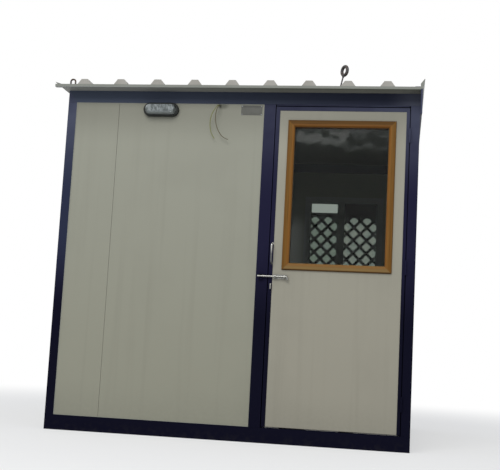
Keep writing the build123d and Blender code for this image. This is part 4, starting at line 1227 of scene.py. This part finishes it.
# %% Lifting loops
loops_low, loops_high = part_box("lifting_loops")
loop_bar = 6 * mm
loop_half = 17 * mm
loop_plate = 50 * mm
plate_thickness = 5 * mm
loop_x = (loops_low.x + loops_high.x) / 2
loop_rows = (loops_low.y + loop_plate / 2, loops_high.y - loop_plate / 2)
loop_plates = bmesh.new()
loop_runs = []
for y in loop_rows:
    block(loop_plates, (loop_x - loop_plate / 2, y - loop_plate / 2, loops_low.z),
          (loop_x + loop_plate / 2, y + loop_plate / 2, loops_low.z + plate_thickness), 1 * mm)
    loop_top = loops_high.z - loop_bar
    foot = loops_low.z + plate_thickness - 1 * mm
    loop_runs.append(bent([
        (loop_x - loop_half, y, foot),
        (loop_x - loop_half, y, loop_top),
        (loop_x + loop_half, y, loop_top),
        (loop_x + loop_half, y, foot),
    ], loop_half - 0.2 * mm, 10))
loop_tubes = tube_mesh("loop_bars", loop_runs, loop_bar, lifting_steel, False, 5)
loops = keep_mesh("corner_loops", close_mesh("corner_loops", loop_plates, lifting_steel, loop_tubes),
                  "booth")
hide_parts("lifting_loops")
print("corner loops", len(loops.data.polygons), "faces")

# %% Lifting eyes
eyes_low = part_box("lifting_eyes")[0]
eye_bar = 11 * mm
eye_ring = 30 * mm
eye_shank = 5 * mm
nut_height = 12 * mm
eye_length = 138 * mm
eye_lean = radians(12)
eye_turn = radians(-50)
eye_foot_x = 678 * mm
lean = Vector((sin(eye_lean), 0, cos(eye_lean)))
ring_side = Vector((cos(eye_turn), sin(eye_turn), 0))
eye_nuts = bmesh.new()
ring_runs = []
nut_profile = [(14 * mm, 0), (14 * mm, 10.5 * mm), (12.4 * mm, 12 * mm)]
shank_profile = [(eye_shank, -6 * mm), (eye_shank, eye_length - eye_ring)]
collar_profile = [(eye_shank, 88 * mm), (8 * mm, 96 * mm), (8.6 * mm, 104 * mm), (6 * mm, 108 * mm)]
ring_steps = 40
for y in loop_rows:
    foot = Vector((eye_foot_x, y, eyes_low.z))
    turned_shape(eye_nuts, foot, (0, 0, 1), nut_profile, 6)
    shank_foot = foot + Vector((0, 0, nut_height))
    turned_shape(eye_nuts, shank_foot, lean, shank_profile, 16)
    turned_shape(eye_nuts, shank_foot, lean, collar_profile, 16)
    middle = shank_foot + lean * eye_length
    turns = [2 * pi * n / ring_steps for n in range(ring_steps)]
    ring_runs.append([middle + (ring_side * cos(t) + Vector((0, 0, 1)) * sin(t)) * eye_ring for t in turns])
ring_tubes = tube_mesh("eye_rings", ring_runs, eye_bar, lifting_steel, True, 6)
eyes = keep_mesh("eye_bolts", close_mesh("eye_bolts", eye_nuts, lifting_steel, ring_tubes),
                 "booth")
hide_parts("lifting_eyes")
print("eye bolts", len(eyes.data.polygons), "faces")

# %% [markdown]
# ## Hinge caps, welds and screws
# Each weld-on hinge has a rounded cap on either end of its pin, and a bead of weld along the outer edge of
# each tab. The lower half of a hinge belongs to the post and the upper half to the door, so each half rides
# with its own body. The bolt's guide plate is screwed to the door, and the keeper and the feet of the loops
# are welded.

# %% Hinge caps and beads
fitting_bead = 1.8 * mm
edge_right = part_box("post_hinge_barrels")[1].x
edge_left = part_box("door_hinge_barrels")[0].x
weld_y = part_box("post_hinge_barrels")[1].y - 0.5 * mm
hinge_x = 1157 * mm
hinge_y = -1228 * mm
hinge_half = 45 * mm
cap_profile = [(7 * mm, 0), (6.6 * mm, 1.4 * mm), (5 * mm, 3 * mm), (2.4 * mm, 4 * mm)]
hinge_rows = (0.3, 1.18, 2.06)
lower_caps = bmesh.new()
upper_caps = bmesh.new()
post_seams = []
door_seams = []
for row in hinge_rows:
    turned_shape(lower_caps, Vector((hinge_x, hinge_y, row - hinge_half)), (0, 0, -1), cap_profile)
    turned_shape(upper_caps, Vector((hinge_x, hinge_y, row + hinge_half)), (0, 0, 1), cap_profile)
    post_seams.append(((edge_right, weld_y, row - hinge_half), (edge_right, weld_y, row - 2 * mm)))
    door_seams.append(((edge_left, weld_y, row + 2 * mm), (edge_left, weld_y, row + hinge_half)))
keep_mesh("post_hinge_caps", close_mesh("post_hinge_caps", lower_caps, frame_enamel), "booth")
keep_mesh("door_hinge_caps", close_mesh("door_hinge_caps", upper_caps, frame_enamel), "door")
welds("door_hinge_welds", door_seams, fitting_bead, "door")

# %% Beads of the keeper and the loops
keeper_low, keeper_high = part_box("bolt_keeper")
for z in (keeper_low.z, keeper_high.z):
    edge_y = keeper_high.y - 0.5 * mm
    post_seams.append(((keeper_low.x + 1 * mm, edge_y, z), (keeper_high.x - 1 * mm, edge_y, z)))
welds("post_fitting_welds", post_seams, fitting_bead, "booth")
foot_seams = []
foot_top = loops_low.z + plate_thickness
foot_bead_half = 4 * mm
for y in loop_rows:
    for x in (loop_x - loop_half, loop_x + loop_half):
        near = x - foot_bead_half
        far = x + foot_bead_half
        for beside in (y - loop_bar, y + loop_bar):
            foot_seams.append(((near, beside, foot_top), (far, beside, foot_top)))
welds("loop_welds", foot_seams, frame_bead, "booth")

# %% Guide plate screws
guide_low, guide_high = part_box("bolt_guides")
guide_face = -1221 * mm
guide_half_height = 15 * mm
screw_inset = 5 * mm
screw_from_end = 30 * mm
guide_middle = 1.09
plate_screws = [
    ((x, guide_face, guide_middle + side * (guide_half_height - screw_inset)), (0, -1, 0))
    for x in (guide_low.x + screw_from_end, guide_high.x - screw_from_end)
    for side in (-1, 1)
]
round_head = {"Sides": 14, "Head Radius": 2.6 * mm, "Head Top Radius": 1.4 * mm, "Head Height": 1.2 * mm,
              "Washer Radius": 2.8 * mm, "Washer Height": 0.4 * mm}
fasteners("guide_plate_screws", plate_screws, round_head, zinc, "door")

# %% [markdown]
# ## The bare plate by the door
# A thin aluminium plate is riveted under the beam beside the door post. It is left blank. Its top is darker.

# %% Bare plate and its rivets
plate_left = 14 * mm
plate_right = 160 * mm
plate_bottom = 2.188
plate_top = 2.256
plate_front = front_face - 1.5 * mm
bare_plate = bmesh.new()
block(bare_plate, (plate_left, plate_front, plate_bottom), (plate_right, front_face, plate_top), 0.5 * mm)
keep_mesh("bare_plate", close_mesh("bare_plate", bare_plate, plate_metal), "booth")
corner_inset = 6 * mm
plate_rivets = [
    ((x, plate_front, z), (0, -1, 0))
    for x in (plate_left + corner_inset, plate_right - corner_inset)
    for z in (plate_bottom + corner_inset, plate_top - corner_inset)
]
fasteners("bare_plate_rivets", plate_rivets, rivet, zinc, "booth")

# %% [markdown]
# ## The strip over the door
# A flat bar under the beam fills most of the slot above the leaf. It stands in for light there: its lit
# front face makes the slot read grey rather than black. It is painted with the frame, and it stops short of
# the leaf's top by more than the leaf ever sags. A box with rounded edges is all that it needs.

# %% Head strip
door_low, door_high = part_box("door_stiles")
strip_depth = 12 * mm
strip_drop = 7.5 * mm
strip_front = front_face - 1 * mm
# the lit bar stands in for light in the slot over the leaf
head_strip = bmesh.new()
strip_low = (door_low.x, strip_front, beam_bottom - strip_drop)
block(head_strip, strip_low, (door_high.x, strip_front + strip_depth, beam_bottom), 1 * mm)
keep_mesh("door_head_strip", close_mesh("door_head_strip", head_strip, frame_enamel), "booth")
print("clear of the leaf by", round(beam_bottom - strip_drop - door_high.z, 4))

# %% [markdown]
# ## Closing the ends of the side flashing
# The folded flashing along the right edge would show its open end. A painted tab closes it and hangs a
# little below it, and above the roof sheet a grey gusset stiffens the leaning lip. Both are cut from flat
# sheet, so one outline drawn out to the thickness of the sheet makes each.

# %% Flashing ends
flashing_end = 1.33
sheet_thickness = 1.8 * mm
tab_outline = ((1220, 2184), (1232.5, 2184), (1232.5, 2351), (1220, 2351))
gusset_outline = (
    (1219, 2349), (1233, 2349), (1234, 2368), (1237, 2384), (1244.5, 2417), (1242, 2417), (1231, 2403),
    (1217, 2384),
)


def cut_sheet(mesh, outline, near, far):
    """Adds a flat piece of sheet with its outline in mm of x and z, between two places along y."""
    faces = [[mesh.verts.new((x * mm, y, z * mm)) for x, z in outline] for y in (near, far)]
    mesh.faces.new(faces[0])
    mesh.faces.new(faces[1][::-1])
    for number in range(len(outline)):
        following = (number + 1) % len(outline)
        side = (faces[0][number], faces[1][number], faces[1][following], faces[0][following])
        mesh.faces.new(side)


for name, outline, finish, slot in (
    ("side_flashing_tabs", tab_outline, side_plate, "trim_navy"),
    ("side_flashing_gussets", gusset_outline, trim_sheet, "trim_grey"),
):
    ends = bmesh.new()
    for way in (-1, 1):
        cut_sheet(ends, outline, way * flashing_end, way * (flashing_end + sheet_thickness))
    keep_mesh(name, close_mesh(name, ends, finish), "booth")
print("flashing ends", len(gusset_outline), "corners in a gusset")

# %% [markdown]
# ## Stage, light and hand-in
# The booth stands on a pale studio floor that fades to white a few metres out, under a soft even sky and one
# large soft lamp high in front. The light is kept at the level at which a colour looks as it is written.

# %% Floor
floor_half = 30
floor_fades = (2.5, 7.0)


def seen_directly(tree):
    """1 for a ray from the camera, a reflection or through glass, and 0 for one that carries light."""
    rays = add(tree, "ShaderNodeLightPath").outputs
    seen = add(tree, "ShaderNodeMath", {
        0: rays["Is Camera Ray"], 1: rays["Is Glossy Ray"],
    }, operation="MAXIMUM")
    return add(tree, "ShaderNodeMath", {0: seen, 1: rays["Is Transmission Ray"]}, operation="MAXIMUM")


floor_mesh = bpy.data.meshes.new("studio_floor")
floor_corners = [(x * floor_half, y * floor_half, 0) for x, y in ((-1, -1), (1, -1), (1, 1), (-1, 1))]
floor_mesh.from_pydata(floor_corners, [], [(0, 1, 2, 3)])
floor = bpy.data.objects.new("studio_floor", floor_mesh)
scene.collection.objects.link(floor)
floor_paint, tree, shader, place = start_finish("studio_floor", {
    "Base Color": "#E4E4E2", "Roughness": 0.9, "Specular IOR Level": 0.1,
})
distance = add(tree, "ShaderNodeVectorMath", {0: place}, operation="LENGTH")
fade = within(tree, (distance, *floor_fades, 0.5, 1.0))
share = add(tree, "ShaderNodeMath", {0: fade, 1: seen_directly(tree)}, operation="MULTIPLY")
white = add(tree, "ShaderNodeEmission", {"Color": "#FFFFFF", "Strength": 1.0})
blend = add(tree, "ShaderNodeMixShader", {0: share, 1: shader, 2: white})
feed(tree, tree.get_output_node("ALL"), {"Surface": blend})
floor_mesh.materials.append(floor_paint)
print("floor", 2 * floor_half, "metres across")

# %% Sky
world = bpy.data.worlds.new("soft_sky")
world.use_nodes = True
sky = world.node_tree
sky.nodes.clear()
sky_light = add(sky, "ShaderNodeBackground", {"Color": "#F2F6FF", "Strength": 0.62})
sky_seen = add(sky, "ShaderNodeBackground", {"Color": "#FFFFFF", "Strength": 1.0})
sky_mix = add(sky, "ShaderNodeMixShader", {0: seen_directly(sky), 1: sky_light, 2: sky_seen})
add(sky, "ShaderNodeOutputWorld", {"Surface": sky_mix})
scene.world = world
print("sky", world.name)

# %% Lamp
soft_data = bpy.data.lights.new("soft_lamp", "AREA")
soft_data.shape = "RECTANGLE"
soft_data.size = 6
soft_data.size_y = 4
soft_data.energy = 470
soft_lamp = bpy.data.objects.new("soft_lamp", soft_data)
lamp_place = Vector((-1.0, -9.0, 7.5))
lamp_target = Vector((0, 0, 1.2))
soft_lamp.location = lamp_place
soft_lamp.rotation_mode = "QUATERNION"
soft_lamp.rotation_quaternion = (lamp_target - lamp_place).to_track_quat("-Z", "Y")
scene.collection.objects.link(soft_lamp)
scene.view_settings.view_transform = "Standard"
print("lamp", soft_lamp.name)

# %% Update the scene
bpy.context.view_layer.update()
